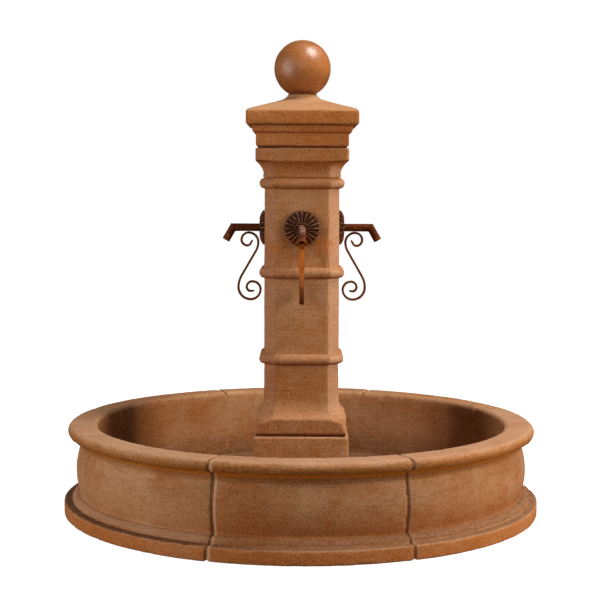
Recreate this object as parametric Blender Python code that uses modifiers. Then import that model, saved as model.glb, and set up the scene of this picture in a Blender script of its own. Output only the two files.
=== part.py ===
"""Courtyard pool fountain: a square cast-stone column with four iron spouts in a round pool.

Units are metres and +Z is up. The origin is the middle of the base, on the ground, and the front faces -Y.
Blender 4.5: blender --background --python part.py
"""
import math

import bmesh
import bpy
from mathutils import Matrix, Vector

# ---------------------------------------------------------------- driving dimensions
GAP = 0.0003                     # clearance between pieces that touch

SEGMENTS = 8                     # castings in the pool ring
SEGMENT_STEPS = 6                # facets round one casting
FIRST_JOINT_DEG = 24.75          # first joint, measured from the front towards +X
JOINT_WIDTH = 0.0030             # mortar joint between two castings
ARRIS = 0.0045                   # eased edge at both ends of a casting

RIM_HEIGHT = 0.3030
RIM_RADIUS = 0.8000              # outside of the bullnose
POOL_RADIUS = 0.7000             # inside of the wall
NOSE_RADIUS = 0.0200             # bullnose of the coping
NECK_RADIUS = 0.7570             # wall just under the coping
WALL_FOOT_RADIUS = 0.7600        # the wall meets its foot moulding here
WALL_FOOT_HEIGHT = 0.0710
FOOT_RADIUS = 0.7900
PLINTH_RADIUS = 0.8140
PLINTH_TOP = 0.0475

FLOOR_TOP = 0.0651
FLOOR_THICKNESS = 0.0400
FLOOR_RADIUS = 0.6975

EDGE = 0.0050                    # eased corner of the square castings
PEDESTAL_HALF = 0.1610
PEDESTAL_TOP = 0.2670
COLUMN_BOTTOM = 0.2725
BLOCK_HALF = 0.1530              # square block at the foot of the column
BLOCK_TOP = 0.3265
SHAFT_BOTTOM = 0.3805            # the flare ends here
SHAFT_HALF = 0.1280
SHAFT_CHAMFER = 0.0386           # leg of the corner chamfer
BAND_HEIGHTS = (0.5260, 0.8185, 1.1200)
BAND_REACH = 0.0157
BAND_HALF_HEIGHT = 0.0175
CAPITAL_BOTTOM = 1.1405
CAPITAL_TOP = 1.1938
CAPITAL_HALF = 0.1560
COLUMN_TOP = 1.2373
COLUMN_BORE_HALF = 0.0850        # hollow inside the column

CAP_BOTTOM = 1.2420
FASCIA_HALF = 0.1550
FASCIA_TOP = 1.2865
OVOLO_HALF = 0.1740
SLAB_HALF = 0.1873
SLAB_BOTTOM = 1.3137
SLAB_TOP = 1.3575
CAP_TOP = 1.4225
BALL_RADIUS = 0.0965
BALL_CENTRE = 1.5100
BALL_NECK_RADIUS = 0.0460
DOWEL_RADIUS = 0.0080
DOWEL_BOTTOM = 1.3400
DOWEL_TOP = 1.4860

SPOUT_HEIGHT = 0.9690
PIPE_RADIUS = 0.0133
PIPE_BORE = 0.0104
PIPE_INNER_END = 0.0615
PIPE_ELBOW = SHAFT_HALF + 0.1083
PIPE_DROP_DEG = 60.0             # the outlet points this far below level
PIPE_OUTLET_LENGTH = 0.0505
PIPE_SIDES = 16
CLEAR_HOLE = 0.0140              # hole that a spout pipe passes
PETALS = 20
ROSETTE_RADIUS = 0.0605
ROSETTE_DEPTH = 0.0165
BAR_THICKNESS = 0.0080
BAR_WIDTH = 0.0160

MANIFOLD_ARM = 0.0585            # reach of a manifold arm from the axis
NIPPLE_RADIUS = 0.0082
PUMP_BOTTOM = 0.0800
PUMP_HEIGHT = 0.0700
PUMP_AXIS_HEIGHT = PUMP_BOTTOM + 0.0348   # centre of the impeller
PUMP_FACE = -0.0113              # front of the pump body, where the cover seats
PUMP_BACK = 0.0690
CHAMBER_RADIUS = 0.0210
CHAMBER_END = 0.0110
ROTOR_WELL_RADIUS = 0.0098
ROTOR_WELL_END = 0.0520
DRAIN_AT = (0.0, 0.4300)
CONDUIT_AT = (-0.0750, 0.0750)

SIDES = {"front": -90.0, "right": 0.0, "back": 90.0, "left": 180.0}


# ---------------------------------------------------------------- scene, materials, helpers
def clear_scene():
    for item in list(bpy.data.objects):
        bpy.data.objects.remove(item, do_unlink=True)


def make_collection(name):
    collection = bpy.data.collections.new(name)
    bpy.context.scene.collection.children.link(collection)
    return collection


def make_material(name, colour, roughness, metallic=0.0):
    material = bpy.data.materials.new(name)
    material.use_nodes = True
    shader = material.node_tree.nodes["Principled BSDF"]
    shader.inputs["Base Color"].default_value = (*colour, 1.0)
    shader.inputs["Roughness"].default_value = roughness
    shader.inputs["Metallic"].default_value = metallic
    material.diffuse_color = (*colour, 1.0)
    return material


clear_scene()
PARTS = make_collection("courtyard_fountain")
CUTTERS = make_collection("cutters")
STONE = make_material("terracotta_stone", (0.36, 0.16, 0.07), 0.85)
FLOOR_STONE = make_material("pool_floor_stone", (0.22, 0.12, 0.07), 0.85)
MORTAR = make_material("joint_mortar", (0.10, 0.05, 0.03), 0.95)
IRON = make_material("rusty_iron", (0.07, 0.03, 0.015), 0.75, 0.4)
BRASS = make_material("brass", (0.60, 0.42, 0.15), 0.35, 1.0)
STEEL = make_material("steel", (0.50, 0.50, 0.50), 0.40, 1.0)
RUBBER = make_material("rubber", (0.02, 0.02, 0.02), 0.80)
PLASTIC = make_material("pump_plastic", (0.03, 0.035, 0.04), 0.45)
WHITE_PLASTIC = make_material("pvc", (0.55, 0.55, 0.53), 0.50)


def place(name, mesh, material, collection=PARTS):
    item = bpy.data.objects.new(name, mesh)
    collection.objects.link(item)
    if not mesh.materials:
        mesh.materials.append(material)
    return item


def mesh_from(name, builder):
    """Runs builder on a new bmesh, points its faces outward and returns the mesh."""
    shape = bmesh.new()
    builder(shape)
    bmesh.ops.recalc_face_normals(shape, faces=shape.faces)
    mesh = bpy.data.meshes.new(name)
    shape.to_mesh(mesh)
    shape.free()
    return mesh


def arc(centre, radius, start_deg, end_deg, steps):
    """Points on an arc, both ends included."""
    points = []
    for step in range(steps + 1):
        angle = math.radians(start_deg + (end_deg - start_deg) * step / steps)
        points.append((centre[0] + radius * math.cos(angle), centre[1] + radius * math.sin(angle)))
    return points


def bow(start, end, sag, steps):
    """Points on a shallow arc from start to end that bulges by sag to the left of its chord."""
    a, b = Vector(start), Vector(end)
    chord = b - a
    normal = Vector((-chord.y, chord.x)).normalized()
    points = []
    for step in range(steps + 1):
        t = step / steps
        points.append(tuple(a + chord * t + normal * sag * 4.0 * t * (1.0 - t)))
    return points


def turned(name, profile, material, steps=24, closed=False, collection=PARTS):
    """A profile of (radius, height) points turned about Z. Its outer side runs top to bottom."""
    def outline(shape):
        verts = [shape.verts.new((radius, 0.0, height)) for radius, height in profile]
        for first, second in zip(verts, verts[1:]):
            shape.edges.new((first, second))
        if closed:
            shape.edges.new((verts[-1], verts[0]))

    item = place(name, mesh_from(name, outline), material, collection)
    screw = item.modifiers.new("turn", "SCREW")
    screw.angle = math.tau
    screw.steps = steps
    screw.render_steps = steps
    screw.use_merge_vertices = True
    screw.merge_threshold = 0.00001
    screw.use_smooth_shade = False
    return item


def loft(rings, closed):
    """Mesh builder: skins rings of equally many points. A closed loft joins the last ring to the first."""
    def build(shape):
        loops = [[shape.verts.new(point) for point in ring] for ring in rings]
        pairs = list(zip(loops, loops[1:]))
        if closed:
            pairs.append((loops[-1], loops[0]))
        else:
            shape.faces.new(loops[0])
            shape.faces.new(loops[-1])
        for low, high in pairs:
            for index in range(len(low)):
                after = (index + 1) % len(low)
                shape.faces.new((low[index], low[after], high[after], high[index]))
    return build


def octagon(half, chamfer, height):
    """A square of the given half width at one height, with its corners cut by the chamfer leg."""
    flat = half - chamfer
    corners = [(half, -flat), (half, flat), (flat, half), (-flat, half)]
    corners += [(-half, flat), (-half, -flat), (-flat, -half), (flat, -half)]
    return [(x, y, height) for x, y in corners]


def chamfered(name, outline, material):
    """A hollow square-plan casting from a closed outline of (half width, chamfer leg, height)."""
    rings = [octagon(*station) for station in outline]
    return place(name, mesh_from(name, loft(rings, closed=True)), material)


def cylinder(name, radius, length, centre, axis, sides, material, collection=PARTS):
    def build(shape):
        bmesh.ops.create_cone(
            shape, cap_ends=True, segments=sides, radius1=radius, radius2=radius, depth=length,
        )

    item = place(name, mesh_from(name, build), material, collection)
    item.location = centre
    item.rotation_euler = Vector(axis).to_track_quat("Z", "Y").to_euler()
    return item


def box(name, low, high, material, collection=PARTS):
    size = Vector(high) - Vector(low)

    def build(shape):
        bmesh.ops.create_cube(shape, size=1.0)
        bmesh.ops.scale(shape, vec=size, verts=shape.verts)

    item = place(name, mesh_from(name, build), material, collection)
    item.location = (Vector(high) + Vector(low)) / 2.0
    return item


def combine(item, tool, operation):
    """Boolean with a hidden tool object; operation is DIFFERENCE or UNION."""
    tool.hide_render = True
    tool.display_type = "WIRE"
    boolean = item.modifiers.new(tool.name, "BOOLEAN")
    boolean.operation = operation
    boolean.object = tool


def bore(item, radius, length, centre, axis, sides=24):
    tool = cylinder(item.name + "_bore", radius, length, centre, axis, sides, STEEL, CUTTERS)
    combine(item, tool, "DIFFERENCE")


def ease_edges(item, width, segments=1):
    bevel = item.modifiers.new("ease", "BEVEL")
    bevel.width = width
    bevel.segments = segments
    bevel.limit_method = "ANGLE"
    bevel.angle_limit = math.radians(60.0)


def about_z(degrees):
    return Matrix.Rotation(math.radians(degrees), 4, "Z")


# ---------------------------------------------------------------- pool
def segment_outline():
    """Section of the pool wall as (radius, height): coping, wall, foot and plinth, then the inside."""
    nose_centre = (RIM_RADIUS - NOSE_RADIUS, RIM_HEIGHT - NOSE_RADIUS)
    outline = arc(nose_centre, NOSE_RADIUS, 90.0, -60.0, 5)
    outline += [(0.7700, 0.2600), (0.7600, 0.2490)]
    outline += bow((NECK_RADIUS, 0.2390), (WALL_FOOT_RADIUS, WALL_FOOT_HEIGHT), 0.0135, 6)
    outline += [(FOOT_RADIUS - 0.0080, PLINTH_TOP + 0.0120), (FOOT_RADIUS, PLINTH_TOP + 0.0060)]
    outline += [(FOOT_RADIUS, PLINTH_TOP)]
    outline += arc((PLINTH_RADIUS - 0.0060, PLINTH_TOP - 0.0060), 0.0060, 90.0, 0.0, 2)
    outline += [(PLINTH_RADIUS, 0.0), (POOL_RADIUS, 0.0)]
    outline += arc((POOL_RADIUS + 0.0140, RIM_HEIGHT - 0.0140), 0.0140, 180.0, 90.0, 2)
    return outline


def ring_angle(degrees_from_front):
    """Rotation about Z that carries the +X direction to this bearing, counted from the front towards +X."""
    return degrees_from_front - 90.0


def make_pool_segments():
    span = 360.0 / SEGMENTS
    joint_deg = math.degrees(JOINT_WIDTH / RIM_RADIUS)
    outline = segment_outline()

    def build(shape):
        start = about_z(joint_deg / 2.0)
        verts = [shape.verts.new(start @ Vector((radius, 0.0, height))) for radius, height in outline]
        face = shape.faces.new(verts)
        bmesh.ops.spin(
            shape, geom=[face, *face.edges, *verts], cent=(0.0, 0.0, 0.0), axis=(0.0, 0.0, 1.0),
            angle=math.radians(span - joint_deg), steps=SEGMENT_STEPS, use_duplicate=False,
        )

    mesh = mesh_from("pool_segment", build)
    for number in range(SEGMENTS):
        segment = place(f"pool_segment_{number + 1}", mesh, STONE)
        segment.matrix_world = about_z(ring_angle(FIRST_JOINT_DEG + span * number))
        ease_edges(segment, ARRIS)


def make_joint_mortar():
    """Thin plates set back in the joints, following the section of the wall."""
    outline = [(0.7070, 0.0040), (0.8050, 0.0040), (0.8050, 0.0400), (0.7840, 0.0440)]
    outline += [(0.7530, 0.0680), (0.7560, 0.0900), (0.7660, 0.1550), (0.7520, 0.2390)]
    outline += [(0.7620, 0.2640), (0.7880, 0.2690), (0.7930, 0.2830), (0.7850, 0.2960)]
    outline += [(0.7140, 0.2960), (0.7070, 0.2880)]
    half = JOINT_WIDTH / 2.0 - GAP

    rings = [[(radius, side, height) for radius, height in outline] for side in (-half, half)]
    mesh = mesh_from("joint_mortar", loft(rings, closed=False))
    for number in range(SEGMENTS):
        plate = place(f"joint_mortar_{number + 1}", mesh, MORTAR)
        plate.matrix_world = about_z(ring_angle(FIRST_JOINT_DEG + 360.0 / SEGMENTS * number))


def make_pool_floor():
    """A slab with a ring rib at its edge and a solid pad under the pedestal."""
    under = FLOOR_TOP - FLOOR_THICKNESS
    profile = [(0.0, FLOOR_TOP), (FLOOR_RADIUS, FLOOR_TOP), (FLOOR_RADIUS, 0.0), (0.6200, 0.0)]
    profile += [(0.6200, under), (0.2200, under), (0.2200, 0.0), (0.0, 0.0)]
    floor = turned("pool_floor", profile, FLOOR_STONE, steps=48)
    bore(floor, 0.0216, 0.3, (*DRAIN_AT, 0.05), (0, 0, 1))
    bore(floor, 0.0124, 0.3, (*CONDUIT_AT, 0.05), (0, 0, 1), sides=16)

    low = FLOOR_TOP + GAP
    bead = [(FLOOR_RADIUS, low + 0.0140), (FLOOR_RADIUS, low), (FLOOR_RADIUS - 0.0140, low)]
    turned("floor_seal", bead, RUBBER, steps=48, closed=True)


def make_drain():
    top = FLOOR_TOP + GAP
    body = [(0.0340, top + 0.0040), (0.0340, top), (0.0211, top), (0.0211, 0.0060), (0.0150, 0.0060)]
    body += [(0.0150, top + 0.0040)]
    drain = turned("drain_body", body, BRASS, steps=24, closed=True)
    nut_top = FLOOR_TOP - FLOOR_THICKNESS - GAP
    nut = cylinder("drain_nut", 0.0330, 0.0110, (*DRAIN_AT, nut_top - 0.0055), (0, 0, 1), 6, BRASS)
    bore(nut, 0.0216, 0.1, nut.location, (0, 0, 1))

    seat = top + 0.0040 + GAP
    plug = [(0.0, seat + 0.0170), (0.0060, seat + 0.0170), (0.0075, seat + 0.0120), (0.0045, seat + 0.0060)]
    plug += [(0.0230, seat + 0.0050), (0.0240, seat), (0.0146, seat), (0.0136, seat - 0.0200)]
    plug += [(0.0, seat - 0.0200)]
    stopper = turned("drain_plug", plug, RUBBER, steps=24)
    drain.location = (*DRAIN_AT, 0.0)
    stopper.location = (*DRAIN_AT, 0.0)

    pipe = [(0.0120, 0.1100), (0.0120, 0.0050), (0.0095, 0.0050), (0.0095, 0.1100)]
    conduit = turned("cable_conduit", pipe, WHITE_PLASTIC, steps=16, closed=True)
    conduit.location = (*CONDUIT_AT, 0.0)


# ---------------------------------------------------------------- column
def make_pedestal():
    low, high = FLOOR_TOP + GAP, PEDESTAL_TOP
    half, inside = PEDESTAL_HALF, 0.1120
    outline = [(half, EDGE, low), (half, EDGE, high - EDGE), (half - EDGE, EDGE, high)]
    outline += [(inside, EDGE, high), (inside, EDGE, low)]
    block = chamfered("pedestal_block", outline, STONE)
    notch = box("water_notch", (-0.0350, -0.2, low - 0.01), (0.0350, 0.2, low + 0.0300), STONE, CUTTERS)
    combine(block, notch, "DIFFERENCE")
    thin_bed("pedestal_bedding", 0.1500, 0.1180, PEDESTAL_TOP + GAP, COLUMN_BOTTOM - GAP)


def thin_bed(name, outer, inner, low, high):
    outline = [(outer, 0.0040, low), (outer, 0.0040, high), (inner, 0.0040, high), (inner, 0.0040, low)]
    return chamfered(name, outline, MORTAR)


def shaft_station(reach, height):
    """The chamfered shaft grown outward evenly by reach, on the flats and on the chamfers."""
    return (SHAFT_HALF + reach, SHAFT_CHAMFER + reach * (2.0 - math.sqrt(2.0)), height)


def sweep_out(reach_at_end, shaft_height, end_height, steps, overrun=0.0, widest=1.0):
    """Stations of a hollow curve that leaves the shaft and has reach_at_end at end_height.

    It may overrun that height. Its flats stop at the widest half width, so only the corners go on.
    """
    rise = abs(end_height - shaft_height)
    radius = (reach_at_end ** 2 + rise ** 2) / (2.0 * reach_at_end)
    direction = 1.0 if end_height > shaft_height else -1.0
    stations = []
    for step in range(steps + 1):
        travel = (rise + overrun) * step / steps
        reach = radius - math.sqrt(radius ** 2 - travel ** 2)
        half, chamfer, height = shaft_station(reach, shaft_height + direction * travel)
        excess = max(0.0, half - widest)
        stations.append((half - excess, max(EDGE, chamfer - 2.0 * excess), height))
    return stations


def band(height):
    """A half-round band round the shaft."""
    stations = []
    for angle in (-90.0, -50.0, 0.0, 50.0, 90.0):
        turn = math.radians(angle)
        reach, rise = BAND_REACH * math.cos(turn), BAND_HALF_HEIGHT * math.sin(turn)
        stations.append(shaft_station(reach, height + rise))
    return stations


def make_column():
    outline = [(BLOCK_HALF - EDGE, EDGE, COLUMN_BOTTOM), (BLOCK_HALF, EDGE, COLUMN_BOTTOM + EDGE)]
    reach = BLOCK_HALF - SHAFT_HALF
    flare = sweep_out(reach, SHAFT_BOTTOM, BLOCK_TOP, 6, overrun=0.0135, widest=BLOCK_HALF)
    outline += reversed(flare)
    for height in BAND_HEIGHTS:
        outline += band(height)
    outline += [shaft_station(0.0, CAPITAL_BOTTOM - 0.0005), shaft_station(0.0030, CAPITAL_BOTTOM)]
    outline += sweep_out(0.0270, CAPITAL_BOTTOM, CAPITAL_TOP, 4)[2:]
    outline += [(CAPITAL_HALF, EDGE, CAPITAL_TOP + 0.0030), (CAPITAL_HALF, EDGE, COLUMN_TOP - EDGE)]
    outline += [(CAPITAL_HALF - EDGE, EDGE, COLUMN_TOP)]
    outline += [(COLUMN_BORE_HALF, 0.0200, COLUMN_TOP), (COLUMN_BORE_HALF, 0.0200, COLUMN_BOTTOM)]
    shaft = chamfered("column_shaft", outline, STONE)
    bore(shaft, CLEAR_HOLE, 0.4, (0, 0, SPOUT_HEIGHT), (1, 0, 0))
    bore(shaft, CLEAR_HOLE, 0.4, (0, 0, SPOUT_HEIGHT), (0, 1, 0))
    thin_bed("cap_gasket", 0.1480, 0.1100, COLUMN_TOP + GAP, CAP_BOTTOM - GAP)


def make_cap():
    """Cap casting with a hole through it for the ball's dowel. Its roof turns from square to round."""
    sharp = 0.0040
    outline = [(FASCIA_HALF - 0.0090, sharp, CAP_BOTTOM)]
    outline += [(FASCIA_HALF - 0.0026, sharp, CAP_BOTTOM + 0.0026)]
    outline += [(FASCIA_HALF, sharp, CAP_BOTTOM + 0.0090), (FASCIA_HALF, sharp, FASCIA_TOP)]
    ovolo_rise = SLAB_BOTTOM - FASCIA_TOP
    for turn in (30.0, 60.0, 90.0):
        swell = math.radians(turn)
        reach = (OVOLO_HALF - FASCIA_HALF) * math.sin(swell)
        outline.append((FASCIA_HALF + reach, sharp, FASCIA_TOP + ovolo_rise * (1.0 - math.cos(swell))))
    outline += [(SLAB_HALF - 0.0070, sharp, SLAB_BOTTOM), (SLAB_HALF, sharp, SLAB_BOTTOM + 0.0070)]
    outline += [(SLAB_HALF, sharp, SLAB_TOP), (SLAB_HALF - 0.0030, sharp, SLAB_TOP + 0.0055)]
    outline += [(SLAB_HALF - 0.0100, sharp, SLAB_TOP + 0.0095), (0.1280, 0.0060, 1.3825)]
    outline += [(0.0860, 0.0200, 1.3965), (0.0640, 0.0300, 1.4055), (0.0530, 0.0300, 1.4140)]
    outline += [(0.0480, 0.0281, CAP_TOP)]
    outline += [(0.0100, 0.0059, CAP_TOP), (0.0100, 0.0059, CAP_BOTTOM)]
    chamfered("column_cap", outline, STONE)
    middle = (0, 0, (DOWEL_BOTTOM + DOWEL_TOP) / 2.0)
    cylinder("finial_dowel", DOWEL_RADIUS, DOWEL_TOP - DOWEL_BOTTOM, middle, (0, 0, 1), 12, STEEL)

    neck_deg = math.degrees(math.acos(BALL_NECK_RADIUS / BALL_RADIUS))
    neck_top = BALL_CENTRE - BALL_RADIUS * math.sin(math.radians(neck_deg))
    ball = arc((0.0, BALL_CENTRE), BALL_RADIUS, 90.0, -neck_deg, 12)
    ball += [(BALL_NECK_RADIUS, neck_top - 0.0010), (BALL_NECK_RADIUS, CAP_TOP + GAP)]
    ball += [(DOWEL_RADIUS + 0.0004, CAP_TOP + GAP), (DOWEL_RADIUS + 0.0004, DOWEL_TOP + 0.0015)]
    ball += [(0.0, DOWEL_TOP + 0.0015)]
    ball[0] = (0.0, BALL_CENTRE + BALL_RADIUS)
    turned("finial_ball", ball, STONE, steps=24)


# ---------------------------------------------------------------- spouts
def tube_ring(radius, centre, axis, cut):
    """Ring of a tube round the line through centre along axis, on the plane with normal cut."""
    axis, cut = Vector(axis).normalized(), Vector(cut).normalized()
    side = Vector((0.0, 1.0, 0.0))
    up = side.cross(axis)
    ring = []
    for step in range(PIPE_SIDES):
        angle = math.tau * step / PIPE_SIDES
        offset = side * (radius * math.cos(angle)) + up * (radius * math.sin(angle))
        slide = -offset.dot(cut) / axis.dot(cut)
        ring.append(Vector(centre) + offset + axis * slide)
    return ring


def pipe_mesh():
    """Level pipe with a mitred outlet leg, bored right through. The spout points along +X."""
    drop = math.radians(PIPE_DROP_DEG)
    level = Vector((1.0, 0.0, 0.0))
    leg = Vector((math.cos(drop), 0.0, -math.sin(drop)))
    start = Vector((PIPE_INNER_END, 0.0, SPOUT_HEIGHT))
    elbow = Vector((PIPE_ELBOW, 0.0, SPOUT_HEIGHT))
    outlet = elbow + leg * PIPE_OUTLET_LENGTH
    stations = [(start, level, level), (elbow, level, level + leg), (outlet, leg, leg)]
    rings = [tube_ring(PIPE_RADIUS, *station) for station in stations]
    rings += [tube_ring(PIPE_BORE, *station) for station in reversed(stations)]
    return mesh_from("spout_pipe", loft(rings, closed=True))


def rosette_mesh():
    """Daisy plate: petals arch out from the wall and back to it, with a valley between each two."""
    valley, rise = 0.0030, ROSETTE_DEPTH
    profile = [(CLEAR_HOLE, rise, 0.0), (0.0220, rise, 0.0), (0.0380, rise, valley)]
    profile += [(0.0510, 0.0120, valley), (ROSETTE_RADIUS, 0.0030, 0.0)]
    profile += [(ROSETTE_RADIUS - 0.0020, GAP, 0.0), (CLEAR_HOLE, GAP, 0.0)]
    rings = []
    for radius, height, dip in profile:
        ring = []
        for step in range(2 * PETALS):
            angle = math.pi * step / PETALS
            in_valley = step % 2
            reach = radius - (0.0040 if in_valley and radius > 0.0550 else 0.0)
            distance = SHAFT_HALF + height - dip * in_valley
            ring.append((distance, reach * math.cos(angle), SPOUT_HEIGHT + reach * math.sin(angle)))
        rings.append(ring)
    return mesh_from("spout_rosette", loft(rings, closed=True))


def trace(start, heading_deg, moves):
    """Follows moves from start: (None, length) is straight, (radius, degrees) is a clockwise arc."""
    point, heading, points = Vector(start), heading_deg, [tuple(start)]
    for radius, amount in moves:
        if radius is None:
            angle = math.radians(heading)
            direction = Vector((math.cos(angle), math.sin(angle)))
            point = point + direction * amount
            points.append(tuple(point))
            continue
        pieces = max(1, round(amount / 22.5))
        angle = math.radians(heading)
        centre = point + radius * Vector((math.sin(angle), -math.cos(angle)))
        points += arc(centre, radius, heading + 90.0, heading + 90.0 - amount, pieces)[1:]
        point, heading = Vector(points[-1]), heading - amount
    return points


def scroll_path():
    """Centre line of the S scroll: distance out from the column's face and height from the pipe's axis."""
    join = (0.0300, -0.0810)
    upper = [(0.0600, 30.0), (0.0330, 90.0), (0.0246, 90.0), (0.0200, 90.0)]
    upper += [(0.0120, 60.0), (None, 0.0160)]
    lower = [(None, 0.0985), (0.0800, 30.0), (0.0420, 90.0), (0.0340, 90.0), (0.0280, 90.0)]
    lower += [(0.0195, 90.0), (0.0140, 90.0), (0.0400, 20.0)]
    return list(reversed(trace(join, 120.0, upper))) + trace(join, -60.0, lower)[1:]


def scroll_mesh():
    """Flat bar bent into the scroll, edge-on to the front."""
    path = [Vector(point) for point in scroll_path()]
    sides = ([], [])
    for index, point in enumerate(path):
        along = path[min(index + 1, len(path) - 1)] - path[max(index - 1, 0)]
        normal = Vector((-along.y, along.x)).normalized() * BAR_THICKNESS / 2.0
        sides[0].append(point + normal)
        sides[1].append(point - normal)
    outline = sides[0] + list(reversed(sides[1]))

    curve = bpy.data.curves.new("scroll_outline", "CURVE")
    curve.dimensions = "2D"
    curve.fill_mode = "BOTH"
    curve.extrude = BAR_WIDTH / 2.0
    spline = curve.splines.new("POLY")
    spline.points.add(len(outline) - 1)
    for control, point in zip(spline.points, outline):
        control.co = (point.x, point.y, 0.0, 1.0)
    spline.use_cyclic_u = True
    flat = bpy.data.objects.new("scroll_outline", curve)
    CUTTERS.objects.link(flat)
    bpy.context.view_layer.update()
    mesh = bpy.data.meshes.new_from_object(flat.evaluated_get(bpy.context.evaluated_depsgraph_get()))
    bpy.data.objects.remove(flat)

    shape = bmesh.new()
    shape.from_mesh(mesh)
    bmesh.ops.remove_doubles(shape, verts=shape.verts, dist=0.00001)
    stand_up = Matrix.Rotation(math.pi / 2.0, 4, "X")
    to_spout = Matrix.Translation((SHAFT_HALF, 0.0, SPOUT_HEIGHT))
    bmesh.ops.transform(shape, matrix=to_spout @ stand_up, verts=shape.verts)
    bmesh.ops.recalc_face_normals(shape, faces=shape.faces)
    shape.to_mesh(mesh)
    shape.free()
    return mesh


def sleeve_mesh(name, start, end, outer, inner):
    """A ring along +X at spout height, from start to end distance from the axis."""
    rings = []
    for radius, distance in ((outer, start), (outer, end), (inner, end), (inner, start)):
        ring = []
        for step in range(PIPE_SIDES):
            angle = math.tau * step / PIPE_SIDES
            ring.append((distance, radius * math.cos(angle), SPOUT_HEIGHT + radius * math.sin(angle)))
        rings.append(ring)
    return mesh_from(name, loft(rings, closed=True))


def make_spouts():
    nut_end = COLUMN_BORE_HALF - GAP
    kinds = (
        ("spout_pipe", pipe_mesh(), IRON),
        ("spout_rosette", rosette_mesh(), IRON),
        ("spout_scroll", scroll_mesh(), IRON),
        ("feed_coupling", sleeve_mesh("feed_coupling", 0.0440, 0.0735, 0.0172, 0.0138), RUBBER),
    )
    for side, degrees in SIDES.items():
        for kind, mesh, material in kinds:
            piece = place(f"{kind}_{side}", mesh, material)
            piece.matrix_world = about_z(degrees)
        turn = about_z(degrees)
        centre = turn @ Vector((nut_end - 0.0045, 0.0, SPOUT_HEIGHT))
        axis = turn @ Vector((1.0, 0.0, 0.0))
        nut = cylinder(f"spout_locknut_{side}", 0.0208, 0.0090, centre, axis, 6, STEEL)
        bore(nut, CLEAR_HOLE, 0.03, centre, axis, sides=PIPE_SIDES)


# ---------------------------------------------------------------- plumbing
def make_manifold():
    centre = (0, 0, SPOUT_HEIGHT)
    cross = cylinder("manifold", 0.0190, 0.0420, centre, (0, 0, 1), PIPE_SIDES, BRASS)
    for axis in ((1, 0, 0), (0, 1, 0)):
        arms = cylinder("arms", PIPE_RADIUS, 2.0 * MANIFOLD_ARM, centre, axis, PIPE_SIDES, BRASS, CUTTERS)
        combine(cross, arms, "UNION")
    below = (0, 0, SPOUT_HEIGHT - 0.0350)
    nipple = cylinder("nipple", NIPPLE_RADIUS, 0.0320, below, (0, 0, 1), 16, BRASS, CUTTERS)
    combine(cross, nipple, "UNION")
    for axis in ((1, 0, 0), (0, 1, 0)):
        bore(cross, 0.0100, 0.2, centre, axis, sides=12)
    bore(cross, 0.0055, 0.0600, (0, 0, SPOUT_HEIGHT - 0.0300), (0, 0, 1), sides=12)

    top = SPOUT_HEIGHT - 0.0230
    bottom = PUMP_BOTTOM + PUMP_HEIGHT + 0.0148
    hose = [(0.0118, top), (0.0118, bottom), (0.0087, bottom), (0.0087, top)]
    turned("riser_hose", hose, RUBBER, steps=16, closed=True)


def make_pump():
    axis_y = (0, 1, 0)
    pump_top = PUMP_BOTTOM + PUMP_HEIGHT
    body = box("pump_body", (-0.0440, PUMP_FACE, PUMP_BOTTOM), (0.0440, PUMP_BACK, pump_top), PLASTIC)
    ease_edges(body, 0.0060, 2)
    above = (0, 0, pump_top + 0.0173)
    outlet = cylinder("outlet", NIPPLE_RADIUS, 0.0450, above, (0, 0, 1), 16, PLASTIC, CUTTERS)
    combine(body, outlet, "UNION")
    chamber = CHAMBER_END - PUMP_FACE + 0.02
    bore(body, CHAMBER_RADIUS, chamber, (0, CHAMBER_END - chamber / 2.0, PUMP_AXIS_HEIGHT), axis_y)
    well_centre = (0, ROTOR_WELL_END / 2.0, PUMP_AXIS_HEIGHT)
    bore(body, ROTOR_WELL_RADIUS, ROTOR_WELL_END, well_centre, axis_y, 16)
    bore(body, 0.0055, 0.0900, (0, 0, pump_top + 0.0098), (0, 0, 1), 12)
    for number, (x, y) in enumerate(((-0.03, 0.005), (0.03, 0.005), (-0.03, 0.055), (0.03, 0.055))):
        low, high = FLOOR_TOP + GAP, PUMP_BOTTOM - GAP
        cup = [(0.0, high), (0.0050, high), (0.0060, low + 0.0060), (0.0100, low), (0.0, low)]
        foot = turned(f"pump_foot_{number + 1}", cup, RUBBER, steps=12)
        foot.location = (x, y, 0.0)

    gland = [(0.0, 0.0160), (0.0045, 0.0160), (0.0075, 0.0110), (0.0075, 0.0), (0.0, 0.0)]
    gland_height = PUMP_BOTTOM + 0.0498
    inlet = turned("pump_cable_gland", gland, RUBBER, steps=12)
    inlet.location = (0.0280, PUMP_BACK + GAP, gland_height)
    inlet.rotation_euler = (-math.pi / 2.0, 0.0, 0.0)
    bore(inlet, 0.0030, 0.0200, (0.0280, PUMP_BACK + 0.0160, gland_height), axis_y, 12)


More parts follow.
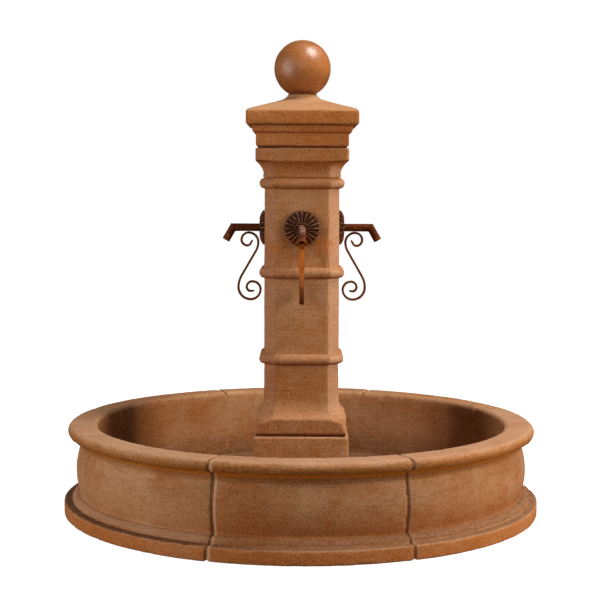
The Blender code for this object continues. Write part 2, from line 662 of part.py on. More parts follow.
def make_impeller():
    """Six straight vanes on a hub, with the magnet rotor behind them."""
    def vanes(shape):
        rings = []
        for distance in (-0.0100, 0.0020):
            ring = []
            for step in range(24):
                angle = math.tau * (step + 0.5) / 24
                radius = 0.0185 if step % 4 < 2 else 0.0060
                if step % 4 < 2:
                    angle = math.tau * (step // 4 * 4 + 1) / 24 + (0.07 if step % 4 else -0.07)
                ring.append((radius * math.cos(angle), distance, radius * math.sin(angle)))
            rings.append(ring)
        loft(rings, closed=False)(shape)

    impeller = place("pump_impeller", mesh_from("pump_impeller", vanes), WHITE_PLASTIC)
    impeller.location = (0.0, 0.0, PUMP_AXIS_HEIGHT)
    for name, radius, low, high in (("shroud", 0.0190, 0.0010, 0.0040), ("rotor", 0.0090, 0.0020, 0.0480)):
        middle = (0, (low + high) / 2.0, PUMP_AXIS_HEIGHT)
        part = cylinder(name, radius, high - low, middle, (0, 1, 0), 16, WHITE_PLASTIC, CUTTERS)
        combine(impeller, part, "UNION")


def make_pump_cover():
    """Strainer that pushes onto the pump's front, with the flow dial on it."""
    seat = PUMP_FACE - GAP
    front = seat - 0.0200
    middle = PUMP_AXIS_HEIGHT
    cover = box("pump_cover", (-0.0400, front, middle - 0.0320), (0.0400, seat, middle + 0.0320), PLASTIC)
    ease_edges(cover, 0.0030)
    low, high = (-0.0370, front + 0.0030, middle - 0.0290), (0.0370, seat + 0.01, middle + 0.0290)
    combine(cover, box("cover_inside", low, high, STEEL, CUTTERS), "DIFFERENCE")
    for x in (-0.0300, -0.0220, 0.0220, 0.0300):
        low, high = (x - 0.0020, front - 0.01, middle - 0.0220), (x + 0.0020, front + 0.01, middle + 0.0220)
        slot = box("cover_slot", low, high, STEEL, CUTTERS)
        combine(cover, slot, "DIFFERENCE")

    dial = cylinder("pump_flow_dial", 0.0120, 0.0040, (0, 0, 0), (0, 1, 0), 24, WHITE_PLASTIC)
    dial.location = (0.0, front - GAP - 0.0020, middle)
    low = (-0.0015, front - GAP - 0.0080, middle - 0.0100)
    high = (0.0015, front - GAP - 0.0020, middle + 0.0100)
    combine(dial, box("dial_grip", low, high, WHITE_PLASTIC, CUTTERS), "UNION")


make_pool_segments()
make_joint_mortar()
make_pool_floor()
make_drain()
make_pedestal()
make_column()
make_cap()
make_spouts()
make_manifold()
make_pump()
make_impeller()
make_pump_cover()
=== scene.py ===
"""Looks of the courtyard pool fountain: weathered cast stone, rusted iron spouts, brass and plastic fittings.

Units are metres and +Z is up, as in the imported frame. Every piece that shows from outside is a dense mesh
made here around its CAD node; the hidden fittings keep their CAD shape and get a material.
"""
import math
from math import cos, radians, sin, sqrt, tau

import bpy
import numpy as np
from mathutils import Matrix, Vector


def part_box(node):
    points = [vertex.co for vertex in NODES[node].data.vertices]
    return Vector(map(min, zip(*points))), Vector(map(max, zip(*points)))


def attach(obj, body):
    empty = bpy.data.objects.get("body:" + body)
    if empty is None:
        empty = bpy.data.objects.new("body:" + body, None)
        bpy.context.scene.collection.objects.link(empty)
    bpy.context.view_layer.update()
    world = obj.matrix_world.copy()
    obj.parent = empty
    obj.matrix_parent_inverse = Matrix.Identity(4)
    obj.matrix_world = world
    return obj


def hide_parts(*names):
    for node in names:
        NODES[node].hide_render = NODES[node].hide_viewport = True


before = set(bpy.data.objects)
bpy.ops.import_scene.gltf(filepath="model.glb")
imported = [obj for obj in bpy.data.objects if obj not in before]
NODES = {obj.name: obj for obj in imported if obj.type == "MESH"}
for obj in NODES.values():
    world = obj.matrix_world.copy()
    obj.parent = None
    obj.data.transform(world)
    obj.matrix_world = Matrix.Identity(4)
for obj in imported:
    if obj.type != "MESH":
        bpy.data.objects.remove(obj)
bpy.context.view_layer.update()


# ---- sizes taken from the frame
def top_of(node):
    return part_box(node)[1].z


def bottom_of(node):
    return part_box(node)[0].z


def half_width(node):
    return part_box(node)[1].x


def radii_of(node):
    """Least and greatest distance of a node's vertices from the Z axis."""
    distances = [math.hypot(vertex.co.x, vertex.co.y) for vertex in NODES[node].data.vertices]
    return min(distances), max(distances)


SIDES = {"front": -90.0, "right": 0.0, "back": 90.0, "left": 180.0}
SEGMENTS = 8
FIRST_JOINT = radians(24.75 - 90.0)  # bearing of the pool ring's first joint, right of the front
JOINT_WIDTH = 0.003
JOINT_EASE = 0.0092  # radius that rounds a casting's ends into its joints
GAP = 0.0003

POOL_RADIUS, PLINTH_RADIUS = radii_of("pool_segment_1")
RIM_RADIUS = PLINTH_RADIUS - 0.014
RIM_HEIGHT = top_of("pool_segment_1")
PLINTH_TOP = bottom_of("pool_segment_1") + 0.0475
FOOT_RADIUS = PLINTH_RADIUS - 0.028
WALL_RADIUS = 0.76  # the wall's face at its foot
WALL_FOOT = 0.071
NECK = 0.246  # where the wall is narrowest, below the coping's nose
FLOOR_TOP = top_of("pool_floor")
FLOOR_RADIUS = radii_of("pool_floor")[1]
PEDESTAL_HALF = half_width("pedestal_block")
PEDESTAL_TOP = top_of("pedestal_block")

COLUMN_BOTTOM = bottom_of("column_shaft")
COLUMN_TOP = top_of("column_shaft")
BORE_HALF = 0.085
CAPITAL_HALF = half_width("column_shaft")
CAPITAL_BOTTOM = 1.1405
CAPITAL_TOP = 1.1938
BLOCK_HALF = CAPITAL_HALF - 0.003
BLOCK_TOP = COLUMN_BOTTOM + 0.054
SHAFT_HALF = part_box("spout_rosette_right")[0].x - GAP
SHAFT_CHAMFER = 0.0386  # leg of the corner chamfer
SHAFT_BOTTOM = COLUMN_BOTTOM + 0.108
BAND_HEIGHTS = (0.526, 0.8185, 1.12)
BAND_REACH = 0.0157
BAND_HALF = 0.0175
ARRIS = 0.0035  # easing of the column's and the block's upright edges

CAP_BOTTOM = bottom_of("column_cap")
CAP_TOP = top_of("column_cap")
SLAB_HALF = half_width("column_cap")
BALL_RADIUS = radii_of("finial_ball")[1]
BALL_CENTRE = top_of("finial_ball") - BALL_RADIUS
SPOUT_Z = (top_of("feed_coupling_right") + bottom_of("feed_coupling_right")) / 2.0


# ---- unevenness of cast and forged surfaces
def lattice(x, y, z, seed):
    """A repeatable value from -1 to 1 for every whole-number lattice point."""
    mixed = (x * 374761393 + y * 668265263 + z * 1440662683 + seed * 1274126177) & 0xFFFFFFFF
    mixed = ((mixed ^ (mixed >> 13)) * 1274126177) & 0xFFFFFFFF
    return (mixed ^ (mixed >> 16)) / 2147483648.0 - 1.0


def noise(points, size, seed=0):
    """Smooth noise from -1 to 1 at each point, with features of about that size."""
    scaled = points / size + 64.37
    base = np.floor(scaled).astype(np.int64)
    blend = scaled - base
    blend = blend * blend * (3.0 - 2.0 * blend)
    total = np.zeros(points.shape[:-1])
    for corner in range(8):
        step = np.array((corner & 1, corner >> 1 & 1, corner >> 2))
        weight = np.prod(np.where(step == 1, blend, 1.0 - blend), axis=-1)
        at = base + step
        total += weight * lattice(at[..., 0], at[..., 1], at[..., 2], seed)
    return total


def smoothstep(value, start, end):
    t = np.clip((value - start) / (end - start), 0.0, 1.0)
    return t * t * (3.0 - 2.0 * t)


# ---- outlines
def curve(start, corner, end, steps):
    """Points from start to end that round off the corner, both ends included."""
    shares = np.linspace(0.0, 1.0, steps + 1)
    return [(1 - t) ** 2 * start + 2 * t * (1 - t) * corner + t ** 2 * end for t in shares]


def rounded(corners, step, closed=False):
    """Dense line through corners given as (coordinates..., easing length)."""
    points = np.array([corner[:-1] for corner in corners], float)
    count = len(points)
    line = []

    def add_run(target):
        if not line:
            line.append(target)
            return
        start = line[-1]
        pieces = max(1, math.ceil(np.linalg.norm(target - start) / step))
        for piece in range(1, pieces + 1):
            line.append(start + (target - start) * piece / pieces)

    for index in range(count):
        corner, easing = points[index], corners[index][-1]
        if easing <= 0.0 or not closed and index in (0, count - 1):
            add_run(corner)
            continue
        before, after = points[index - 1] - corner, points[(index + 1) % count] - corner
        start, end = (corner + side * min(easing / np.linalg.norm(side), 0.49) for side in (before, after))
        add_run(start)
        line += curve(start, corner, end, 4)[1:]
    if closed:
        add_run(line[0])
        line.pop()
    return np.array(line)


def arc(centre, radius, start_deg, end_deg, steps):
    """Points on an arc, both ends included, each with no easing."""
    angles = np.radians(np.linspace(start_deg, end_deg, steps + 1))
    return [(centre[0] + radius * cos(a), centre[1] + radius * sin(a), 0.0) for a in angles]


def bow(start, end, sag, steps):
    """Points on a shallow arc from start to end that bulges by sag to the left of its chord."""
    a, b = np.array(start), np.array(end)
    normal = np.array((a[1] - b[1], b[0] - a[0])) / np.linalg.norm(b - a)
    share = np.linspace(0.0, 1.0, steps + 1)
    return [(*(a + (b - a) * t + normal * sag * 4.0 * t * (1.0 - t)), 0.0) for t in share]


# ---- grids of points, and meshes from them
def along_rows(grid, offset, wrap):
    """The grid moved by one row; an open grid repeats its end row."""
    if wrap:
        return np.roll(grid, -offset, axis=0)
    return grid[np.clip(np.arange(len(grid)) + offset, 0, len(grid) - 1)]


def winding(grid, wrap):
    """Normals of a closed grid as its rows wind, and 1 if they point out of the solid or -1 if into it."""
    across = np.roll(grid, -1, axis=1) - np.roll(grid, 1, axis=1)
    normals = np.cross(across, along_rows(grid, 1, wrap) - along_rows(grid, -1, wrap))
    return normals, -1.0 if np.sum(normals * grid) < 0.0 else 1.0


def outward(grid, wrap):
    """Unit normals of a closed grid, pointing out of the solid."""
    normals, sign = winding(grid, wrap)
    return sign * normals / np.maximum(np.linalg.norm(normals, axis=-1, keepdims=True), 1e-12)


def hollowness(grid, wrap):
    """How far each point lies inside (above 0) or outside (below 0) its smoothed surroundings."""
    smooth = grid.copy()
    for _ in range(10):
        around = np.roll(smooth, -1, axis=1) + np.roll(smooth, 1, axis=1)
        around = around + along_rows(smooth, 1, wrap) + along_rows(smooth, -1, wrap)
        smooth = 0.4 * smooth + 0.15 * around
    return np.sum((smooth - grid) * outward(grid, wrap), axis=-1)


def weather(grid, wrap, layers, chip_depth=0.0, chip_size=0.02, seed=0):
    """Makes a cast or forged surface uneven, layer by layer as (size, depth), and chips its outer edges."""
    depth = np.zeros(grid.shape[:2])
    for number, (size, amount) in enumerate(layers):
        depth += amount * noise(grid, size, seed + number)
    if chip_depth:
        edge = smoothstep(-hollowness(grid, wrap), 0.0004, 0.0016)
        depth -= chip_depth * edge * smoothstep(noise(grid, chip_size, seed + 40), 0.3, 0.75)
        depth -= 0.4 * chip_depth * edge * smoothstep(noise(grid, 0.3 * chip_size, seed + 41), 0.1, 0.7)
    return grid + outward(grid, wrap) * depth[..., None]


def add_object(name, data):
    item = bpy.data.objects.new(name, data)
    bpy.context.scene.collection.objects.link(item)
    return item


def skin(node, finish, grid, material, wrap=False, ends="flat", body="fountain",
         tone=0.0):
    """Mesh in place of a CAD node, from a grid of rows of points, each row a closed ring. wrap joins the last
    row to the first. Open ends close with one flat face, or at a pole. Every point stores how worn and how
    hollow it is."""
    rows, columns = grid.shape[:2]
    hollow = hollowness(grid, wrap).ravel()
    points = grid.reshape(-1, 3).tolist()
    index = np.arange(rows * columns).reshape(rows, columns)
    after = np.roll(index, -1, axis=1)
    faces = []
    for row in range(rows if wrap else rows - 1):
        beyond = (row + 1) % rows
        faces += np.stack((index[row], after[row], after[beyond], index[beyond]), axis=1).tolist()
    if not wrap and ends == "flat":
        faces += [index[0][::-1].tolist(), index[-1].tolist()]
    elif not wrap:
        for row, order in ((0, -1), (-1, 1)):
            faces += [(*pair[::order], len(points)) for pair in zip(index[row].tolist(), after[row].tolist())]
            points.append(grid[row].mean(axis=0).tolist())
    name = f"{node}_{finish}"
    mesh = bpy.data.meshes.new(name)
    mesh.from_pydata(points, [], faces)
    if winding(grid, wrap)[1] < 0.0:
        mesh.flip_normals()
    hollow = np.append(hollow, np.zeros(len(points) - len(hollow)))
    shares = {"worn": smoothstep(-hollow, 0.0003, 0.0022), "hollow": smoothstep(hollow, 0.0002, 0.003),
              "tone": np.full(len(points), tone)}
    for label, share in shares.items():
        attribute = mesh.attributes.new(label, "FLOAT", "POINT")
        attribute.data.foreach_set("value", share.astype(np.float32))
    mesh.shade_smooth()
    mesh.materials.append(material)
    item = add_object(name, mesh)
    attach(item, body)
    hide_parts(node)
    return item


def carve(item, label, points, sides):
    """Cuts a prism out of a piece; the points are its two end rings, one after the other."""
    faces = [tuple(range(sides))[::-1], tuple(range(sides, 2 * sides))]
    faces += [(k, (k + 1) % sides, sides + (k + 1) % sides, sides + k) for k in range(sides)]
    mesh = bpy.data.meshes.new(f"{item.name}_{label}")
    mesh.from_pydata(points, [], faces)
    tool = add_object(mesh.name, mesh)
    boolean = item.modifiers.new(label, "BOOLEAN")
    boolean.object = tool
    boolean.solver = "EXACT"
    bpy.context.view_layer.update()
    cut = bpy.data.meshes.new_from_object(item.evaluated_get(bpy.context.evaluated_depsgraph_get()))
    item.modifiers.clear()
    item.data = cut
    bpy.data.objects.remove(tool)


def cut_hole(item, label, centre, radius, length, axis):
    """Bores a round hole through a piece along an axis."""
    sides = 32
    order = {"Z": (0, 1, 2), "X": (2, 0, 1), "Y": (1, 2, 0)}[axis]
    points = []
    for end in (-0.5, 0.5):
        for angle in np.arange(sides) * tau / sides:
            local = (radius * cos(angle), radius * sin(angle), end * length)
            points.append([local[order[k]] + centre[k] for k in range(3)])
    carve(item, label, points, sides)


def turned_grid(profile, columns):
    """A profile of (radius, height) turned about Z, as rows of points."""
    angles = np.arange(columns) * tau / columns
    radius, height = profile[:, :1], profile[:, 1:]
    return np.stack((radius * np.cos(angles), radius * np.sin(angles), height + 0.0 * angles), axis=-1)


def octagon_ring(half, chamfer, height):
    """A square ring with cut corners and eased arrises, always with the same number of points."""
    flat = half - chamfer
    corners = np.array([(half, -flat), (half, flat), (flat, half), (-flat, half),
                        (-half, flat), (-half, -flat), (-flat, -half), (flat, -half)])
    sides = np.roll(corners, -1, axis=0) - corners
    lengths = np.linalg.norm(sides, axis=1)
    ways = sides / lengths[:, None]
    easings = np.minimum(ARRIS, 0.45 * np.minimum(lengths, np.roll(lengths, 1)))
    ring = []
    for index in range(8):
        following = (index + 1) % 8
        start = corners[index] - ways[index - 1] * easings[index]
        end = corners[index] + ways[index] * easings[index]
        target = corners[following] - ways[index] * easings[following]
        ring += curve(start, corners[index], end, 3)
        steps = 24 if index % 2 == 0 else 7
        ring += [end + (target - end) * t for t in np.linspace(0.0, 1.0, steps + 1)[1:-1]]
    return np.column_stack((np.array(ring), np.full(len(ring), height)))


def square_ring(half, corner_radius, height):
    """A square ring with round corners; at corner_radius equal to half it is a circle.
    Its points stand at fixed bearings, closer together at the corners."""
    near_corner = (0.2, 0.5, 0.9, 1.6, 3.0)
    bearings = [45.0, *(45.0 + x for x in near_corner), *np.linspace(51.0, 129.0, 27)]
    bearings += [135.0 - x for x in near_corner[::-1]]
    centre = half - corner_radius
    ring = []
    for turn in range(4):
        for bearing in np.radians(bearings) + turn * math.pi / 2:
            x, y = abs(cos(bearing)), abs(sin(bearing))
            reach = half / max(x, y)
            if reach * min(x, y) > centre:
                along = centre * (x + y)
                reach = along + sqrt(max(0.0, along ** 2 - 2.0 * centre ** 2 + corner_radius ** 2))
            ring.append((reach * cos(bearing), reach * sin(bearing), height))
    return np.array(ring)


STONE_LAYERS = ((0.14, 0.0008), (0.035, 0.0004), (0.009, 0.0002))


def cast(stations, ring, step, chip_depth, seed):
    """Weathered grid through stations in a closed run, each with its own ring."""
    rings = [ring(*station) for station in rounded(stations, step, closed=True)]
    return weather(np.array(rings), True, STONE_LAYERS, chip_depth=chip_depth, seed=seed)


# ---- pool


def segment_outline():
    """Closed section of the pool wall as (radius, height), from the inside foot round the outside."""
    nose = 0.02
    corners = [(POOL_RADIUS, 0.0, 0.003), (PLINTH_RADIUS, 0.0, 0.006), (PLINTH_RADIUS, PLINTH_TOP, 0.008)]
    corners += [(FOOT_RADIUS, PLINTH_TOP + 0.001, 0.0016), (FOOT_RADIUS, PLINTH_TOP + 0.009, 0.006)]
    corners += [(WALL_RADIUS + 0.0145, WALL_FOOT - 0.001, 0.01), (WALL_RADIUS, WALL_FOOT, 0.004)]
    wall_bottom = (WALL_RADIUS + 0.0005, WALL_FOOT + 0.008)
    corners += bow(wall_bottom, (WALL_RADIUS - 0.003, NECK - 0.01), -0.0135, 16)
    corners += [(WALL_RADIUS - 0.002, NECK, 0.008), (WALL_RADIUS + 0.008, NECK + 0.014, 0.01)]
    corners += arc((RIM_RADIUS - nose, RIM_HEIGHT - nose), nose, -62.0, 90.0, 14)
    corners += [(POOL_RADIUS, RIM_HEIGHT, 0.018)]
    return rounded(corners, 0.0075, closed=True)


def inset(outline, depth):
    """A closed outline moved inwards by a depth for every point, with its flat sides kept parallel."""
    before = outline - np.roll(outline, 1, axis=0)
    after = np.roll(outline, -1, axis=0) - outline
    before /= np.linalg.norm(before, axis=1, keepdims=True)
    after /= np.linalg.norm(after, axis=1, keepdims=True)
    inward = np.column_stack((-(before + after)[:, 1], (before + after)[:, 0]))
    inward /= np.maximum(np.sum(inward ** 2, axis=1, keepdims=True) / 2.0, 1.0)
    if np.sum(inward * (outline - outline.mean(axis=0))) > 0.0:
        inward = -inward
    return outline + inward * depth[:, None]


def pool_face(outline):
    """1 on the wall's face inside the pool, below its coping, and 0 elsewhere."""
    near = smoothstep(outline[:, 0], POOL_RADIUS + 0.016, POOL_RADIUS + 0.008)
    return near * smoothstep(outline[:, 1], RIM_HEIGHT - 0.012, RIM_HEIGHT - 0.024)


def make_pool_segments(material):
    """Cast ring segments, each a little out of line, whose outer ends round over into the joints."""
    outline = segment_outline()
    exposed = 1.0 - 0.96 * pool_face(outline)
    span = tau / SEGMENTS
    length = span * RIM_RADIUS - JOINT_WIDTH
    ease_turns = np.radians(np.linspace(0.0, 90.0, 6))
    run_in = [(0.0, JOINT_EASE + 0.003)]
    run_in += [(JOINT_EASE * (1.0 - cos(a)), JOINT_EASE * (1.0 - sin(a))) for a in ease_turns]
    middle = np.linspace(JOINT_EASE * 1.8, length - JOINT_EASE * 1.8, 82)
    stations = run_in + [(distance, 0.0) for distance in middle]
    stations += [(length - distance, depth) for distance, depth in reversed(run_in)]
    for number in range(SEGMENTS):
        start = FIRST_JOINT + span * number + JOINT_WIDTH / RIM_RADIUS / 2.0
        slip = 0.0011 * sin(2.4 * number + 0.7)
        rise = 1.0 + 0.0022 * sin(1.9 * number + 2.0)
        rows = []
        for distance, depth in stations:
            section = inset(outline, depth * exposed)
            angle = start + distance / RIM_RADIUS
            radius = section[:, 0] + slip
            height = section[:, 1] * rise
            rows.append(np.column_stack((radius * cos(angle), radius * sin(angle), height)))
        grid = np.array(rows)
        under = grid[..., 2] < 0.004
        grid = weather(grid, False, STONE_LAYERS, chip_depth=0.0026, chip_size=0.03, seed=100 * number)
        grid[..., 2] = np.where(under, np.clip(grid[..., 2], 0.0, 0.004), np.maximum(grid[..., 2], 0.0))
        tone = sin(4.1 * number + 1.0)
        skin(f"pool_segment_{number + 1}", "cast", grid, material, tone=tone)


def make_joint_mortar(material):
    """Pointed joints: mortar a little below the stone outside, and nearly flush with it inside the pool."""
    outline = segment_outline()
    section = inset(outline, 0.0044 - 0.0042 * pool_face(outline))
    section[:, 1] = np.maximum(section[:, 1], 0.002)
    for number in range(SEGMENTS):
        angle = FIRST_JOINT + tau / SEGMENTS * number
        out = np.array((cos(angle), sin(angle)))
        side = np.array((-out[1], out[0]))
        rows = [np.column_stack((section[:, :1] * out + shift * side, section[:, 1]))
                for shift in np.linspace(-0.005, 0.005, 5)]
        grid = weather(np.array(rows), False, ((0.03, 0.0006), (0.008, 0.0003)), seed=1600 + 10 * number)
        skin(f"joint_mortar_{number + 1}", "pointed", grid, material)


def make_pool_floor(material):
    """Floor slab with a worn, slightly dished top, and holes for the drain and the cable conduit."""
    under, recess_inner, recess_outer = FLOOR_TOP - 0.04, 0.22, 0.62
    corners = [(0.0, FLOOR_TOP, 0.0), (FLOOR_RADIUS, FLOOR_TOP, 0.003), (FLOOR_RADIUS, 0.0, 0.003)]
    corners += [(recess_outer, 0.0, 0.003), (recess_outer, under, 0.003)]
    corners += [(recess_inner, under, 0.003), (recess_inner, 0.0, 0.003), (0.0, 0.0, 0.0)]
    grid = turned_grid(rounded(corners, 0.012)[1:-1], 144)
    top = grid[..., 2] > FLOOR_TOP - 0.001
    uneven = 0.0012 * noise(grid, 0.15, 7) + 0.0005 * noise(grid, 0.04, 8) - 0.0009
    grid[..., 2] += np.where(top, np.minimum(uneven, 0.0), 0.0)
    floor = skin("pool_floor", "cast", grid, material, ends="pole")
    cut_hole(floor, "drain", (0.0, 0.43, 0.05), 0.0216, 0.3, "Z")
    cut_hole(floor, "conduit", (-0.075, 0.075, 0.05), 0.0124, 0.3, "Z")


def make_pedestal(material):
    """Hollow block under the column, with notches at its foot that let the water in."""
    low, inside, edge = FLOOR_TOP + GAP, 0.112, 0.007
    stations = [(PEDESTAL_HALF, edge, low, 0.003), (PEDESTAL_HALF, edge, PEDESTAL_TOP, 0.007)]
    stations += [(inside, edge, PEDESTAL_TOP, 0.003), (inside, edge, low, 0.003)]
    grid = cast(stations, octagon_ring, 0.0065, 0.002, 1100)
    grid[..., 2] = np.maximum(grid[..., 2], low)
    block = skin("pedestal_block", "cast", grid, material, wrap=True, tone=-0.3)
    half, notch = 0.035, ((-1, low - 0.01), (1, low - 0.01), (1, low + 0.03), (-1, low + 0.03))
    carve(block, "water_notch", [(side * half, y, z) for y in (-0.2, 0.2) for side, z in notch], 4)


# ---- column, cap and ball
def shaft_station(reach, height, easing=0.0):
    """The chamfered shaft grown outward evenly by reach: half width, chamfer leg, height, easing length."""
    return (SHAFT_HALF + reach, SHAFT_CHAMFER + reach * (2.0 - sqrt(2.0)), height, easing)


def sweep_out(reach_at_end, shaft_height, end_height, steps, overrun=0.0, widest=1.0):
    """Stations of a hollow curve that leaves the shaft tangent to it and has reach_at_end at end_height.
    It may overrun that height; its flats stop at the widest half width, so only the corners go on."""
    rise = abs(end_height - shaft_height)
    radius = (reach_at_end ** 2 + rise ** 2) / (2.0 * reach_at_end)
    direction = 1.0 if end_height > shaft_height else -1.0
    stations = []
    for step in range(steps + 1):
        travel = (rise + overrun) * step / steps
        reach = radius - sqrt(radius ** 2 - travel ** 2)
        half, chamfer, height, easing = shaft_station(reach, shaft_height + direction * travel)
        excess = max(0.0, half - widest)
        stations.append((half - excess, max(0.006, chamfer - 2.0 * excess), height, easing))
    return stations


def band(height):
    """A half-round band round the shaft, with a fine groove where it meets the shaft."""
    stations = [shaft_station(-0.002, height - BAND_HALF - 0.0018, 0.0012)]
    for angle in np.radians(np.linspace(-90.0, 90.0, 13)):
        level = height + BAND_HALF * sin(angle)
        stations.append(shaft_station(BAND_REACH * cos(angle), level))
    return stations + [shaft_station(-0.001, height + BAND_HALF + 0.0012, 0.001)]


def make_column(material):
    """Hollow column: square block, flare, chamfered shaft with its bands, and capital."""
    edge, bore_chamfer = 0.006, 0.02
    stations = [(BLOCK_HALF - edge, edge, COLUMN_BOTTOM, 0.003)]
    stations += [(BLOCK_HALF, edge, COLUMN_BOTTOM + edge, 0.004)]
    stations += reversed(sweep_out(BLOCK_HALF - SHAFT_HALF, SHAFT_BOTTOM, BLOCK_TOP, 12, 0.0135, BLOCK_HALF))
    for height in BAND_HEIGHTS:
        stations += band(height)
    stations += [shaft_station(0.003, CAPITAL_BOTTOM, 0.0015)]
    stations += sweep_out(0.027, CAPITAL_BOTTOM, CAPITAL_TOP, 10)[3:]
    stations += [(CAPITAL_HALF, edge, CAPITAL_TOP + 0.003, 0.004), (CAPITAL_HALF, edge, COLUMN_TOP, 0.006)]
    stations += [(BORE_HALF, bore_chamfer, end, 0.004) for end in (COLUMN_TOP, COLUMN_BOTTOM)]
    grid = cast(stations, octagon_ring, 0.0065, 0.0018, 1000)
    shaft = skin("column_shaft", "cast", grid, material, wrap=True, tone=0.2)
    for axis in ("X", "Y"):
        cut_hole(shaft, f"spout_holes_{axis}", (0.0, 0.0, SPOUT_Z), 0.014, 0.4, axis)


def make_cap(material):
    """Moulded cap. Its plan is square at the slab and turns round where the ball stands."""
    slab_bottom, slab_top = CAP_TOP - 0.1088, CAP_TOP - 0.065
    fascia_half, fascia_top = SLAB_HALF - 0.0323, CAP_TOP - 0.136
    ovolo_half = SLAB_HALF - 0.0215
    sharp, bore = 0.005, 0.01
    stations = [(fascia_half, sharp, CAP_BOTTOM, 0.009), (fascia_half, sharp, fascia_top, 0.0008)]
    for swell in np.radians(np.linspace(8.0, 90.0, 9)):
        reach = (ovolo_half - fascia_half) * sin(swell) + 0.0012
        rise = 0.5 * (slab_bottom - fascia_top) * (1.0 - cos(swell))
        stations.append((fascia_half + reach, sharp, fascia_top + rise, 0.0))
    stations += [(ovolo_half + 0.0012, sharp, slab_bottom - 0.001, 0.001)]
    stations += [(ovolo_half - 0.004, sharp, slab_bottom + 0.0004, 0.001)]
    stations += [(SLAB_HALF, sharp, slab_bottom, 0.0085), (SLAB_HALF, sharp, slab_top + 0.003, 0.0075)]
    stations += [(SLAB_HALF - 0.011, 0.008, slab_top + 0.01, 0.006)]
    stations += [(0.128, 0.014, CAP_TOP - 0.04, 0.02), (0.086, 0.035, CAP_TOP - 0.026, 0.012)]
    stations += [(0.064, 0.056, CAP_TOP - 0.0165, 0.008), (0.053, 0.0528, CAP_TOP - 0.008, 0.005)]
    stations += [(0.049, 0.049, CAP_TOP, 0.002)]
    stations += [(bore, bore - 0.0001, end, 0.001) for end in (CAP_TOP, CAP_BOTTOM)]
    grid = cast(stations, square_ring, 0.0055, 0.002, 1200)
    skin("column_cap", "cast", grid, material, wrap=True, body="cap", tone=0.5)


def make_ball(material):
    """Ball cut off level where it stands on the cap, with a blind hole for its dowel."""
    neck = 0.046
    neck_deg = math.degrees(math.acos(neck / BALL_RADIUS))
    low, hole, hole_top, pole = CAP_TOP + GAP, 0.0086, 1.4875, 0.0006
    corners = [(pole, BALL_CENTRE + BALL_RADIUS, 0.0)]
    corners += arc((0.0, BALL_CENTRE), BALL_RADIUS, 88.5, 2.0 - neck_deg, 46)
    corners += [(neck - 0.0005, low, 0.0008), (hole, low, 0.001)]
    corners += [(hole, hole_top, 0.001), (pole, hole_top, 0.0)]
    grid = turned_grid(rounded(corners, 0.006), 112)
    grid = weather(grid, False, ((0.12, 0.0006), (0.03, 0.0004), (0.008, 0.0002)), seed=1300)
    skin("finial_ball", "cast", grid, material, ends="pole", body="cap", tone=0.8)


# ---- spouts
PIPE_RADIUS = 0.0133
PIPE_BORE = 0.0104
PIPE_START = 0.0615
PIPE_ELBOW = SHAFT_HALF + 0.1083
OUTLET_LENGTH = 0.0505
DROP = radians(60.0)
WELD = 0.0007
PETALS = 20
PETAL_POINTS = 12
PETAL_DEPTH = 0.0052
PETAL_SCALLOP = 0.0062
ROSETTE_RADIUS = 0.0605
ROSETTE_EYE = 0.0225
BAR_THICKNESS = 0.008
BAR_WIDTH = 0.016
BAR_EASE = 0.0016
BAR_END = 0.004
IRON_LAYERS = ((0.03, 0.0003), (0.009, 0.00025), (0.0035, 0.00012))


def turned_side(grid, degrees):
    """The grid turned about Z, from the spout that points along +X to the one on another side."""
    turn = radians(degrees)
    cosine, sine = cos(turn), sin(turn)
    x, y, z = np.moveaxis(grid, -1, 0)
    return np.stack((x * cosine - y * sine, x * sine + y * cosine, z), axis=-1)


def pipe_grid():
    """Level pipe with a mitred outlet leg and a thin weld round the mitre, bored right through."""
    start = np.array((PIPE_START, 0.0, SPOUT_Z))
    elbow = np.array((PIPE_ELBOW, 0.0, SPOUT_Z))
    leg = np.array((cos(DROP), 0.0, -sin(DROP)))
    level = np.array((1.0, 0.0, 0.0))
    outlet = elbow + leg * OUTLET_LENGTH
    mitre = (level + leg) / np.linalg.norm(level + leg)

    def ring(centre, axis, cut, radius):
        side = np.array((0.0, 1.0, 0.0))
        up = np.cross(side, axis)
        turns = np.arange(36)[:, None] * tau / 36
        offset = radius * (side * np.cos(turns) + up * np.sin(turns))
        slide = -(offset @ cut) / (axis @ cut)
        return centre + offset + axis * slide[:, None]

    def run(radius, weld):
        trim = 0.0006
        rows = [ring(start + level * trim, level, level, radius)]
        for t in np.linspace(0.02, 0.94, 52):
            cut = level * (1 - t ** 8) + mitre * t ** 8
            rows.append(ring(start + (elbow - start) * t, level, cut, radius))
        for offset, swell in ((-0.0022, 0.0), (-0.0012, 0.7), (0.0, 1.0), (0.0012, 0.7), (0.0022, 0.0)):
            way = leg if offset > 0.0 else level
            rows.append(ring(elbow + way * offset, way, mitre, radius + weld * swell))
        for t in np.linspace(0.12, 0.97, 12):
            rows.append(ring(elbow + (outlet - elbow) * t, leg, mitre * (1 - t) + leg * t, radius))
        return rows + [ring(outlet - leg * trim, leg, leg, radius)]

    middle = (PIPE_RADIUS + PIPE_BORE) / 2.0
    rows = run(PIPE_RADIUS, WELD) + [ring(outlet, leg, leg, middle)]
    return np.array(rows + run(PIPE_BORE, 0.0)[::-1] + [ring(start, level, level, middle)])


